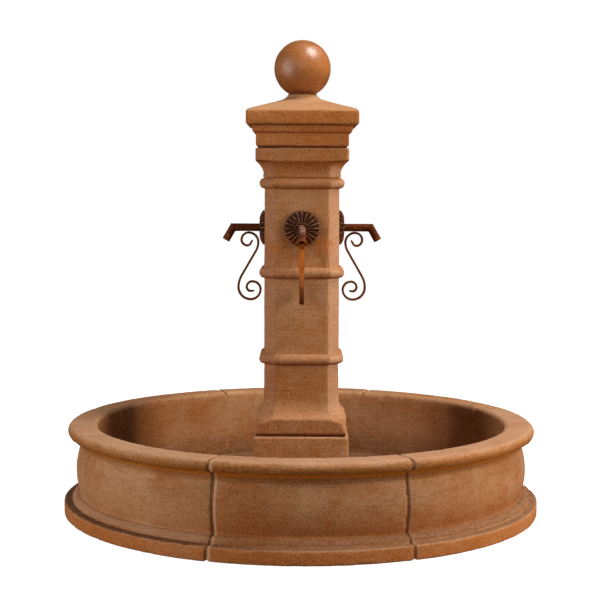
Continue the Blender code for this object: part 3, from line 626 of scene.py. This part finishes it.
def rosette_grid():
    """Daisy plate: ribbed petals arch out from the wall and back to it, with a valley between each two."""
    corners = [(0.014, 0.015, 0.0), (0.015, 0.0182, 0.0015), (0.0205, 0.0182, 0.002)]
    corners += [(ROSETTE_EYE, 0.015, 0.0015), (0.03, 0.0168, 0.006), (0.039, 0.016, 0.008)]
    corners += [(0.051, 0.011, 0.006), (ROSETTE_RADIUS, 0.0034, 0.0012), (ROSETTE_RADIUS, 0.0014, 0.0006)]
    corners += [(0.054, GAP, 0.001), (0.014, GAP, 0.0006)]
    turns = np.arange(PETALS * PETAL_POINTS) * tau / (PETALS * PETAL_POINTS)
    ridge = np.abs(np.cos(turns * PETALS / 2.0))
    valley = 1.0 - ridge ** 0.55
    rib = 0.0007 * np.exp(-((1.0 - ridge) / 0.04) ** 2)
    rows = []
    for radius, rise in rounded(corners, 0.0019, closed=True):
        petal = smoothstep(radius, ROSETTE_EYE, 0.03) if rise > 0.0016 else 0.0
        deep = petal * (PETAL_DEPTH * valley - rib)
        reach = radius - smoothstep(radius, 0.045, ROSETTE_RADIUS) * PETAL_SCALLOP * valley
        distance = SHAFT_HALF + np.maximum(rise - deep * min(1.0, rise / 0.008), GAP)
        rows.append(np.column_stack((distance, reach * np.cos(turns), SPOUT_Z + reach * np.sin(turns))))
    return np.array(rows)


def trace(start, heading_deg, moves):
    """Follows moves from start: (None, length) is straight, (radius, degrees) is a clockwise arc."""
    point, heading, points = np.array(start), heading_deg, [np.array(start)]
    for radius, amount in moves:
        way = np.array((cos(radians(heading)), sin(radians(heading))))
        if radius is None:
            steps = max(3, round(amount / 0.003))
            points += [point + way * amount * t for t in np.linspace(0.0, 1.0, steps)[1:]]
        else:
            centre = point + radius * np.array((way[1], -way[0]))
            heading += 90.0
            for angle in np.radians(np.linspace(heading, heading - amount, max(3, round(amount / 6.0)))[1:]):
                points.append(centre + radius * np.array((cos(angle), sin(angle))))
            heading -= amount + 90.0
        point = points[-1]
    return points


def scroll_path():
    """Centre line of the S scroll: distance out from the column's face and height from the pipe's axis."""
    join = (0.03, -0.081)
    upper = [(0.06, 30.0), (0.033, 90.0), (0.0246, 90.0), (0.02, 90.0), (0.012, 60.0), (None, 0.016)]
    lower = [(None, 0.0985), (0.08, 30.0), (0.042, 90.0), (0.034, 90.0), (0.028, 90.0)]
    lower += [(0.0195, 90.0), (0.014, 90.0), (0.04, 20.0)]
    return np.array(trace(join, 120.0, upper)[::-1] + trace(join, -60.0, lower)[1:])


def scroll_grid():
    """Flat bar with eased edges, hammered a little thinner towards its ends and narrowed at its tips."""
    path = scroll_path()
    along = np.gradient(path, axis=0)
    along /= np.linalg.norm(along, axis=1, keepdims=True)
    across = np.column_stack((-along[:, 1], along[:, 0]))
    travelled = np.append(0.0, np.cumsum(np.linalg.norm(np.diff(path, axis=0), axis=1)))
    half_w, half_t = BAR_WIDTH / 2.0, BAR_THICKNESS / 2.0
    corners = [(t * half_t, w * half_w, BAR_EASE) for t, w in ((1, 1), (-1, 1), (-1, -1), (1, -1))]
    section = rounded(corners, 0.0035, closed=True)
    rows = []
    for point, normal, end in zip(path, across, np.minimum(travelled, travelled[-1] - travelled)):
        taper = sqrt(min(1.0, (end + 0.0002) / BAR_END)) if end < BAR_END else 1.0
        thin = taper * (1.0 - 0.15 * (1.0 - smoothstep(end, 0.0, 0.03)))
        rows.append([(SHAFT_HALF + point[0] + normal[0] * t * thin, w * (0.6 + 0.4 * taper),
                      SPOUT_Z + point[1] + normal[1] * t * thin) for t, w in section])
    return np.array(rows)


def make_spouts(material):
    kinds = (("pipe", pipe_grid(), True), ("rosette", rosette_grid(), True), ("scroll", scroll_grid(), False))
    for number, (side, degrees) in enumerate(SIDES.items()):
        for kind, grid, wrap in kinds:
            placed = weather(turned_side(grid, degrees), wrap, IRON_LAYERS, seed=1500 + 10 * number)
            tone = sin(3.0 * number)
            skin(f"spout_{kind}_{side}", "forged", placed, material, wrap=wrap, tone=tone)


# ---- materials
def srgb(red, green, blue):
    """A colour given as it looks on a screen, 0 to 255, in the linear values that shaders use."""
    values = [channel / 255.0 for channel in (red, green, blue)]
    return (*(v / 12.92 if v <= 0.04045 else ((v + 0.055) / 1.055) ** 2.4 for v in values), 1.0)


class Shader:
    """One procedural material. Positions are in metres, so features keep their real size.

    A layer is a screen colour and the factors of its share. A factor is a number, a socket, or a band:
    (value, start, end), 0 below start and 1 above end, smooth between. Reversed limits turn it round."""

    def __init__(self, name):
        self.material = bpy.data.materials.new(f"{name}_look")
        self.material.use_nodes = True
        self.tree = self.material.node_tree
        self.surface = self.tree.nodes["Principled BSDF"]
        self.position = self.node("TexCoord").outputs["Object"]
        self.x, self.y, self.z = self.node("SeparateXYZ", {"Vector": self.position}).outputs[:3]

    def node(self, kind, inputs=(), **settings):
        made = self.tree.nodes.new(f"ShaderNode{kind}")
        for key, value in settings.items():
            setattr(made, key, value)
        for key, value in dict(inputs).items():
            self.set(made.inputs[key], value)
        return made

    def set(self, socket, value):
        if isinstance(value, bpy.types.NodeSocket):
            self.tree.links.new(value, socket)
        else:
            socket.default_value = value

    def noise(self, size, detail=4.0, rough=0.55, stretch=(1.0, 1.0, 1.0), twist=0.0):
        """Cloudy noise from 0 to 1 with features of that size; stretch below 1 lengthens them."""
        at = self.node("Mapping", {"Vector": self.position, "Scale": stretch}).outputs[0]
        inputs = {"Vector": at, "Scale": 1.0 / size, "Detail": detail, "Roughness": rough}
        return self.node("TexNoise", {**inputs, "Distortion": twist}).outputs["Fac"]

    def attribute(self, name):
        return self.node("Attribute", attribute_name=name).outputs["Fac"]

    def facing(self, axis):
        """How far the surface faces along an axis, from -1 to 1."""
        normal = self.node("NewGeometry").outputs["Normal"]
        return self.node("SeparateXYZ", {"Vector": normal}).outputs[axis]

    def radius(self):
        """Distance from the fountain's upright axis."""
        flat = self.node("VectorMath", {0: self.position, 1: (1.0, 1.0, 0.0)}, operation="MULTIPLY")
        return self.node("VectorMath", {0: flat.outputs[0]}, operation="LENGTH").outputs["Value"]

    def math(self, operation, *values, clamp=False):
        return self.node("Math", enumerate(values), operation=operation, use_clamp=clamp).outputs[0]

    def band(self, value, start, end):
        limits = (start, end, 0.0, 1.0) if start < end else (end, start, 1.0, 0.0)
        inputs = {"Value": value, **dict(zip(("From Min", "From Max", "To Min", "To Max"), limits))}
        return self.node("MapRange", inputs, interpolation_type="SMOOTHSTEP").outputs[0]

    def share(self, *factors):
        """The factors multiplied together, kept between 0 and 1."""
        first, *others = (self.band(*factor) if isinstance(factor, tuple) else factor for factor in factors)
        for other in others:
            first = self.math("MULTIPLY", first, other, clamp=True)
        return first

    def mix(self, share, first, second, kind="RGBA"):
        inputs = {"Factor": share, "A": first, "B": second}
        return self.node("Mix", inputs, data_type=kind).outputs["Result"]

    def lay(self, colour, *layers):
        """Layers laid over a screen colour, or over what another call has made."""
        if isinstance(colour, tuple):
            colour = srgb(*colour)
        for paint, *factors in layers:
            colour = self.mix(self.share(*factors), colour, srgb(*paint))
        return colour

    def bump(self, height, strength, distance, **normal):
        inputs = {"Height": height, "Strength": strength, "Distance": distance, **normal}
        return self.node("Bump", inputs).outputs[0]

    def finish(self, colour, roughness, metallic=0.0, specular=0.5, **normal):
        inputs = {"Base Color": colour, "Roughness": roughness, "Metallic": metallic, **normal}
        for key, value in {**inputs, "Specular IOR Level": specular}.items():
            self.set(self.surface.inputs[key], value)
        return self.material


STONE_PALETTE = ((164, 99, 45), (188, 141, 102), (162, 82, 20), (94, 50, 15))
BALL_PALETTE = ((162, 92, 36), (176, 110, 56), (162, 82, 20), (94, 50, 15))
FLOOR_PALETTE = ((124, 82, 50), (146, 108, 78), (112, 64, 28), (66, 40, 22))
INSIDE_STAIN = (132, 80, 42)


def stone_material(name, zones=None, palette=STONE_PALETTE, polish=0.0):
    """Cast stone: cloudy tone, orange stain, trowel streaks, pits, pale worn edges, dirt and painted shade in
    hollows, painted shade on downward faces, and dust with painted light on upward ones.
    zones gives the layers of one piece, laid over the stone before its fine brush marks and speckle."""
    body, pale, orange, dark = palette
    m = Shader(name)
    clouds = m.noise(0.32, 5.0, 0.62, twist=0.4)
    mottle = m.noise(0.055, 5.0, 0.65)
    streaks = m.noise(0.05, 4.0, 0.62, stretch=(0.45, 0.45, 4.2))
    brush = m.noise(0.012, 3.0, 0.6, stretch=(0.16, 0.16, 2.6))
    grain = m.noise(0.0045, 3.0, 0.7)
    speckle = m.noise(0.0042, 2.0, 0.6)
    cells = m.node("TexVoronoi", {"Vector": m.position, "Scale": 1.0 / 0.011}).outputs["Distance"]
    pits = m.share((cells, 0.16, 0.05), (m.noise(0.045, 2.0), 0.52, 0.62))
    tone = m.math("MULTIPLY_ADD", m.attribute("tone"), 0.5, 1.0, clamp=True)
    up = m.facing("Z")
    colour = m.lay(
        body,
        (pale, (clouds, 0.36, 0.66)),
        (orange, (mottle, 0.47, 0.7), 0.5),
        (dark, (streaks, 0.5, 0.74), 0.34),
        (pale, (streaks, 0.46, 0.3), 0.32),
        (pale, tone, 0.14),
        # painted shade: downward faces turn a darker orange, partly stain
        (orange, (up, -0.12, -0.75), 0.75),
        # dust and painted light: upward faces paler
        (pale, (up, 0.45, 0.95), (mottle, 0.3, 0.62), 0.45),
        (pale, m.attribute("worn"), (m.noise(0.014, 3.0, 0.6), 0.36, 0.6), 0.7),
        # dirt and painted shade: darker in hollows
        (dark, m.attribute("hollow"), (m.noise(0.03, 3.0, 0.6), 0.2, 0.55), 0.8),
        *(zones(m, up, mottle) if zones else ()),
        (dark, (brush, 0.5, 0.68), 0.17 * (1.0 - polish)),
        (pale, (brush, 0.5, 0.32), 0.15 * (1.0 - polish)),
        (dark, (speckle, 0.5, 0.66), 0.46),
        (pale, (speckle, 0.5, 0.34), 0.43),
        (dark, pits, 0.55),
    )
    relief = m.math("MULTIPLY_ADD", grain, 0.5, m.math("MULTIPLY", mottle, 0.9))
    relief = m.math("MULTIPLY_ADD", pits, -0.9, relief)
    normal = m.bump(streaks, 0.15, 0.003, Normal=m.bump(relief, 0.55, 0.0016))
    roughness = m.mix(m.band(mottle, 0.3, 0.7), 0.72 - 0.42 * polish, 0.92 - 0.42 * polish, "FLOAT")
    return m.finish(colour, roughness, specular=0.18 + 0.66 * polish, Normal=normal)


def inside_pool(m):
    """The share of the wall's face inside the pool."""
    return m.share((m.radius(), POOL_RADIUS + 0.011, POOL_RADIUS + 0.006), (m.z, 0.296, 0.288))


def pool_zones(m, up, mottle):
    """An ochre cove painted brighter where the nose shades it, an orange lower wall and plinth, a ledge
    greyed by dirt and painted shade, painted light on the coping's front top and the left lower wall and
    foot, painted shade on the left ledge and the inside ends, darker inside towards the bottom, and a painted
    highlight and painted shade beside each joint.
    """
    x, y, z = m.x, m.y, m.z
    outside = (m.radius(), POOL_RADIUS + 0.03, POOL_RADIUS + 0.04)
    stain = m.share(outside, m.math("MULTIPLY_ADD", mottle, 0.5, 0.75))
    left, middle, right = (x, -0.12, -0.34), (x, -0.34, -0.12), (x, 0.1, 0.3)
    wall = (z, WALL_FOOT - 0.002, WALL_FOOT + 0.003)
    foot = m.share((z, wall[2], wall[1]), (z, PLINTH_TOP + 0.004, PLINTH_TOP + 0.008))
    ledge = m.share((z, PLINTH_TOP + 0.006, PLINTH_TOP + 0.003), (up, 0.55, 0.85), outside)
    inside = inside_pool(m)
    # masks for painted shade at the left and right ends inside the pool
    ends = m.math("MAXIMUM", m.band(x, -0.602, -0.622), m.band(x, 0.545, 0.58))
    turn = m.math("SUBTRACT", m.math("ARCTAN2", y, x), FIRST_JOINT)
    past = m.math("TANGENT", m.math("MULTIPLY", turn, SEGMENTS / 2.0))
    return (
        ((150, 88, 28), (z, NECK - 0.02, NECK - 0.006), (z, NECK + 0.01, NECK), stain, 0.5),
        # painted light: ochre stain brightened where the coping's nose shades the cove
        ((226, 130, 8), (z, NECK, NECK + 0.01), (z, NECK + 0.03, NECK + 0.022), stain, 0.95),
        ((150, 84, 8), (z, NECK + 0.018, NECK + 0.024), (z, NECK + 0.0525, NECK + 0.034), stain, 0.85),
        # painted light: paler top of the coping on the front half
        ((208, 166, 138), (z, RIM_HEIGHT - 0.012, RIM_HEIGHT - 0.003), (up, 0.6, 0.9), (y, 0.55, 0.1), 0.3),
        # painted light: paler lower wall on the left
        ((204, 148, 100), outside, (z, 0.2, 0.11), wall, left, 0.35),
        ((164, 84, 22), (z, 0.19, 0.09), wall, stain, (x, -0.5, -0.1), 0.55),
        ((188, 100, 26), (z, PLINTH_TOP - 0.002, PLINTH_TOP - 0.008), outside, 0.6),
        # painted light: paler foot on the left
        ((176, 134, 108), foot, left, 0.5),
        ((120, 72, 34), foot, middle, 0.65),
        ((126, 90, 68), foot, right, 0.5),
        # dirt and painted shade: darker, greyer ledge under the wall's foot
        ((112, 78, 56), ledge, 0.75),
        # painted shadow: ledge darker still on the left
        ((96, 62, 38), ledge, left, 0.8),
        (INSIDE_STAIN, inside, 0.3),
        ((84, 50, 24), inside, (z, 0.165, 0.1), 0.4),
        # painted shade: darker left and right ends inside the pool
        ((104, 58, 14), inside, ends, 0.5),
        # painted highlight: pale lip beside each joint on the left half of the pool
        ((212, 168, 132), (past, 0.01, 0.022), (past, 0.085, 0.05), outside, (x, 0.7, -0.3),
         (mottle, 0.28, 0.46), 0.7),
        # painted shade: darker on the other side of each joint
        ((104, 60, 28), (past, -0.042, -0.02), (past, 0.012, 0.004), outside, 0.4),
    )


def column_zones(m, up, mottle):
    """Painted light on the chamfers facing right and front and a pinker painted light on those facing left
    and front, a stained capital, a paler flare painted as lit, and a dark halo round the rosettes that is
    painted shadow and rusty dirt.
    """
    x, y, z = m.x, m.y, m.z
    forward = (m.facing("Y"), -0.45, -0.65)
    sideways = m.facing("X")
    x_size = m.math("ABSOLUTE", x)
    aside = m.math("MINIMUM", x_size, m.math("ABSOLUTE", y))
    below = m.math("SUBTRACT", z, SPOUT_Z - 0.015)
    reach = m.math("SQRT", m.math("MULTIPLY_ADD", aside, aside, m.math("MULTIPLY", below, below)))
    return (
        ((158, 82, 8), 0.15),
        ((160, 86, 22), (z, CAPITAL_BOTTOM - 0.12, CAPITAL_BOTTOM + 0.02), 0.4),
        # painted light: paler chamfers facing right and front
        ((218, 172, 140), (sideways, 0.45, 0.65), forward, 0.36),
        # painted light: pinker chamfers facing left and front
        ((172, 116, 92), (sideways, -0.45, -0.65), forward, 0.34),
        # painted light: paler flare from the block up to the shaft
        ((204, 152, 112), (z, BLOCK_TOP - 0.008, BLOCK_TOP + 0.004),
         (z, SHAFT_BOTTOM + 0.02, SHAFT_BOTTOM - 0.01), 0.34),
        ((140, 76, 28), (z, BLOCK_TOP - 0.004, BLOCK_TOP - 0.014), 0.34),
        # painted shadow and rusty dirt: dark halo round each rosette, centred below it
        ((116, 64, 24), (reach, 0.105, 0.06), (mottle, 0.25, 0.55), 0.38),
        ((184, 96, 30), (x_size, 0.035, 0.055), (x_size, 0.115, 0.095), (z, 0.87, 0.895), (z, 0.95, 0.92),
         (y, -0.1, -0.12), (mottle, 0.3, 0.56), 0.6),
    )


def cap_zones(m, up, mottle):
    """An orange stain on the cap's mouldings, painted light on the upward-facing roof, and painted shade
    where the ball stands.
    """
    return (
        ((178, 94, 14), (m.z, CAP_TOP - 0.056, CAP_TOP - 0.066), 0.62),
        # painted light: paler upward-facing roof
        ((222, 170, 122), (up, 0.15, 0.4), (m.z, CAP_TOP - 0.068, CAP_TOP - 0.06), 0.34),
        # painted shade: dark ring where the ball stands
        ((84, 46, 18), (m.z, CAP_TOP - 0.006, CAP_TOP - 0.001), 0.7),
    )


def ball_zones(m, up, mottle):
    """Painted shade: a browner underside, and a dark ring where the ball meets the cap."""
    return (
        # painted shade: browner underside
        ((120, 66, 18), (up, 0.1, -0.6), 0.55),
        # painted shade: dark where the ball meets the cap
        ((84, 46, 18), (m.z, CAP_TOP + 0.018, CAP_TOP + 0.003), 0.75),
    )


def mortar_zones(m, up, mottle):
    """Brown mortar, except on the wall's face inside the pool, where it matches the stone."""
    inside = inside_pool(m)
    return (((112, 70, 38), m.math("SUBTRACT", 1.0, inside), 0.8), (INSIDE_STAIN, inside, 0.3))


def iron_material():
    """Wrought iron under rust: brown-black scale, orange bloom where water runs, pale worn edges, painted
    highlights on the elbows' tops and the petals' crowns, and dirt with painted shade in hollows.
    """
    m = Shader("rusty_iron")
    bloom = m.noise(0.03, 5.0, 0.65, twist=0.6)
    flakes = m.noise(0.006, 4.0, 0.7)
    grain = m.noise(0.0015, 2.0, 0.6)
    scale, rust, bright = (58, 24, 6), (108, 48, 8), (170, 88, 12)
    x_size, y_size = m.math("ABSOLUTE", m.x), m.math("ABSOLUTE", m.y)
    reach = m.math("MAXIMUM", x_size, y_size)
    rosette = m.share((reach, SHAFT_HALF + 0.026, SHAFT_HALF + 0.02),
                      (m.z, SPOUT_Z - 0.068, SPOUT_Z - 0.062))
    turn = m.math("ARCTAN2", m.math("SUBTRACT", m.z, SPOUT_Z), m.math("MINIMUM", x_size, y_size))
    petal = m.math("COSINE", m.math("MULTIPLY", turn, float(PETALS)))
    colour = m.lay(
        scale,
        (rust, (flakes, 0.38, 0.62)),
        ((124, 62, 16), (m.z, SPOUT_Z - 0.02, SPOUT_Z - 0.04), 0.7),
        (bright, (m.z, SPOUT_Z - 0.03, SPOUT_Z - 0.06), (m.z, 0.77, 0.83), (x_size, 0.06, 0.04),
         (bloom, 0.24, 0.56), 0.8),
        (bright, (bloom, 0.56, 0.72), 0.65),
        (scale, (grain, 0.62, 0.76), 0.5),
        ((44, 20, 8), rosette, 0.6),
        # painted highlight: pale on top of the front and back spouts' elbows
        ((206, 166, 146), (m.facing("Z"), 0.1, 0.8), (reach, SHAFT_HALF + 0.05, SHAFT_HALF + 0.09),
         (x_size, 0.04, 0.02), (m.z, SPOUT_Z - 0.022, SPOUT_Z), (flakes, 0.36, 0.54), 0.6),
        # painted highlight: pale lines along the rosette petals' crowns
        ((186, 146, 118), rosette, (petal, 0.7, 0.98), (flakes, 0.42, 0.58), 0.6),
        ((150, 106, 80), m.attribute("worn"), (flakes, 0.45, 0.6), 0.25),
        # dirt and painted shade: near black in hollows
        ((34, 19, 12), m.attribute("hollow"), 0.75),
    )
    normal = m.bump(m.math("MULTIPLY_ADD", grain, 0.35, flakes), 0.6, 0.0008)
    roughness = m.mix(m.band(flakes, 0.4, 0.66), 0.55, 0.88, "FLOAT")
    metallic = m.mix(m.band(flakes, 0.5, 0.36), 0.0, 0.15, "FLOAT")
    return m.finish(colour, roughness, metallic, 0.15, Normal=normal)


def plain_material(name, base, second, size, roughness, depth=0.0001, metal=0.0, specular=0.5):
    """A moulded or drawn material: two close tones in clouds, fine scratches and a fine relief."""
    m = Shader(name)
    clouds = m.noise(size, 4.0, 0.6)
    fine = m.noise(size / 14.0, 3.0, 0.65)
    colour = m.lay(base, (second, (clouds, 0.38, 0.64)), (second, (fine, 0.6, 0.74), 0.35))
    rough = m.mix(m.band(clouds, 0.3, 0.7), roughness - 0.08, roughness + 0.08, "FLOAT")
    return m.finish(colour, rough, metal, specular, Normal=m.bump(fine, 0.45, depth))


CARRIED = (
    (plain_material("bedding", (64, 40, 26), (92, 60, 38), 0.02, 0.92, 0.001, specular=0.1),
     ("pedestal_bedding", "cap_gasket")),
    (plain_material("steel", (160, 160, 158), (120, 118, 114), 0.01, 0.38, metal=1.0),
     ("finial_dowel", "spout_locknut")),
    (plain_material("rubber", (34, 33, 32), (52, 50, 48), 0.008, 0.72),
     ("feed_coupling", "riser_hose", "pump_cable_gland", "pump_foot", "drain_plug")),
    (plain_material("brass", (168, 128, 66), (122, 88, 44), 0.012, 0.38, metal=1.0),
     ("drain_nut", "drain_body", "manifold")),
    (plain_material("sealant", (104, 66, 38), (122, 80, 48), 0.025, 0.9, 0.0004, specular=0.1),
     ("floor_seal",)),
    (plain_material("pump_plastic", (38, 42, 46), (54, 58, 62), 0.01, 0.46),
     ("pump_body", "pump_cover")),
    (plain_material("pvc", (206, 204, 196), (182, 178, 166), 0.015, 0.42),
     ("pump_impeller", "pump_flow_dial", "cable_conduit")),
)


def finish_carried_nodes():
    """Gives each CAD node that stays visible its material and softly eased edges."""
    for name, node in NODES.items():
        for material, prefixes in CARRIED:
            if name.startswith(prefixes):
                node.data.materials.clear()
                node.data.materials.append(material)
                ease = node.modifiers.new("ease", "BEVEL")
                ease.width = 0.0006
                ease.segments = 2
                ease.limit_method = "ANGLE"
                ease.angle_limit = radians(50.0)


make_pool_segments(stone_material("pool_stone", pool_zones))
make_joint_mortar(stone_material("joint_mortar", mortar_zones))
make_pool_floor(stone_material("pool_floor", palette=FLOOR_PALETTE))
make_pedestal(stone_material("cast_stone"))
make_column(stone_material("column_stone", column_zones))
make_cap(stone_material("cap_stone", cap_zones))
make_ball(stone_material("rubbed_stone", ball_zones, BALL_PALETTE, polish=1.0))
make_spouts(iron_material())
finish_carried_nodes()


# ---- studio
WHITE = (1.0, 1.0, 1.0)


def make_floor():
    """Pale studio floor that glows white where the camera sees it, a little less near the fountain, so it
    reads as a white sweep.
    """
    size = 40.0
    mesh = bpy.data.meshes.new("studio_floor")
    corners = [(x * size, y * size, 0.0) for x, y in ((-1, -1), (1, -1), (1, 1), (-1, 1))]
    mesh.from_pydata(corners, [], [(0, 1, 2, 3)])
    floor = add_object("studio_floor", mesh)
    floor.location.z = -0.0005
    m = Shader("studio_floor")
    seen = m.node("LightPath").outputs["Is Camera Ray"]
    glow = m.mix(m.band(m.radius(), 1.2, 6.0), 0.86, 1.0, "FLOAT")
    m.set(m.surface.inputs["Emission Color"], (*WHITE, 1.0))
    m.set(m.surface.inputs["Emission Strength"], m.math("MULTIPLY", seen, glow))
    colour = m.mix(seen, (0.22, 0.2, 0.18, 1.0), (0.6, 0.6, 0.6, 1.0))
    mesh.materials.append(m.finish(colour, 0.9, specular=0.0))


def softbox(name, place, aim_height, size, power, tint=WHITE, mirrored=True):
    """A rectangular light turned towards the fountain; mirrored says whether shiny surfaces show it."""
    light = bpy.data.lights.new(name, "AREA")
    light.shape = "RECTANGLE"
    light.size, light.size_y = size
    light.energy = power
    light.color = tint
    lamp = add_object(name, light)
    lamp.location = place
    lamp.visible_glossy = mirrored
    aim = Vector((0.0, 0.0, aim_height)) - Vector(place)
    lamp.rotation_euler = aim.to_track_quat("-Z", "Y").to_euler()


def make_world():
    """Faint warm light all round, and plain white where the camera sees past the floor."""
    world = bpy.data.worlds.new("studio")
    bpy.context.scene.world = world
    world.use_nodes = True
    nodes, links = world.node_tree.nodes, world.node_tree.links
    fill, backdrop = nodes["Background"], nodes.new("ShaderNodeBackground")
    fill.inputs["Color"].default_value = (1.0, 0.97, 0.94, 1.0)
    fill.inputs["Strength"].default_value = 0.09
    backdrop.inputs["Color"].default_value = (*WHITE, 1.0)
    seen = nodes.new("ShaderNodeLightPath").outputs["Is Camera Ray"]
    either = nodes.new("ShaderNodeMixShader")
    for socket, source in zip(either.inputs, (seen, fill.outputs[0], backdrop.outputs[0])):
        links.new(source, socket)
    links.new(either.outputs[0], nodes["World Output"].inputs["Surface"])


def make_camera():
    """A long lens about level with the top of the shaft, looking slightly down."""
    data = bpy.data.cameras.new("camera")
    data.lens = 85.0
    camera = add_object("camera", data)
    camera.location = (-0.0071, -4.881, 1.106)
    camera.rotation_euler = (radians(90.0 - 4.54), radians(-0.25), 0.0)
    bpy.context.scene.camera = camera


make_floor()
make_world()
make_camera()
softbox("key_right", (4.2, -1.5, 2.0), 0.8, (1.2, 2.0), 172.0, (1.0, 0.96, 0.91), mirrored=False)
softbox("key_left", (-4.2, -2.1, 1.7), 0.6, (1.6, 2.0), 116.0, (1.0, 0.97, 0.93))
softbox("overhead", (1.6, -0.6, 4.3), 0.8, (1.3, 1.3), 118.0)
softbox("front_fill", (-0.6, -5.6, 2.4), 0.6, (2.4, 1.6), 28.0)
softbox("back_fill", (0.8, 5.6, 2.4), 0.6, (2.4, 1.6), 42.0, mirrored=False)
bpy.context.scene.view_settings.view_transform = "Standard"
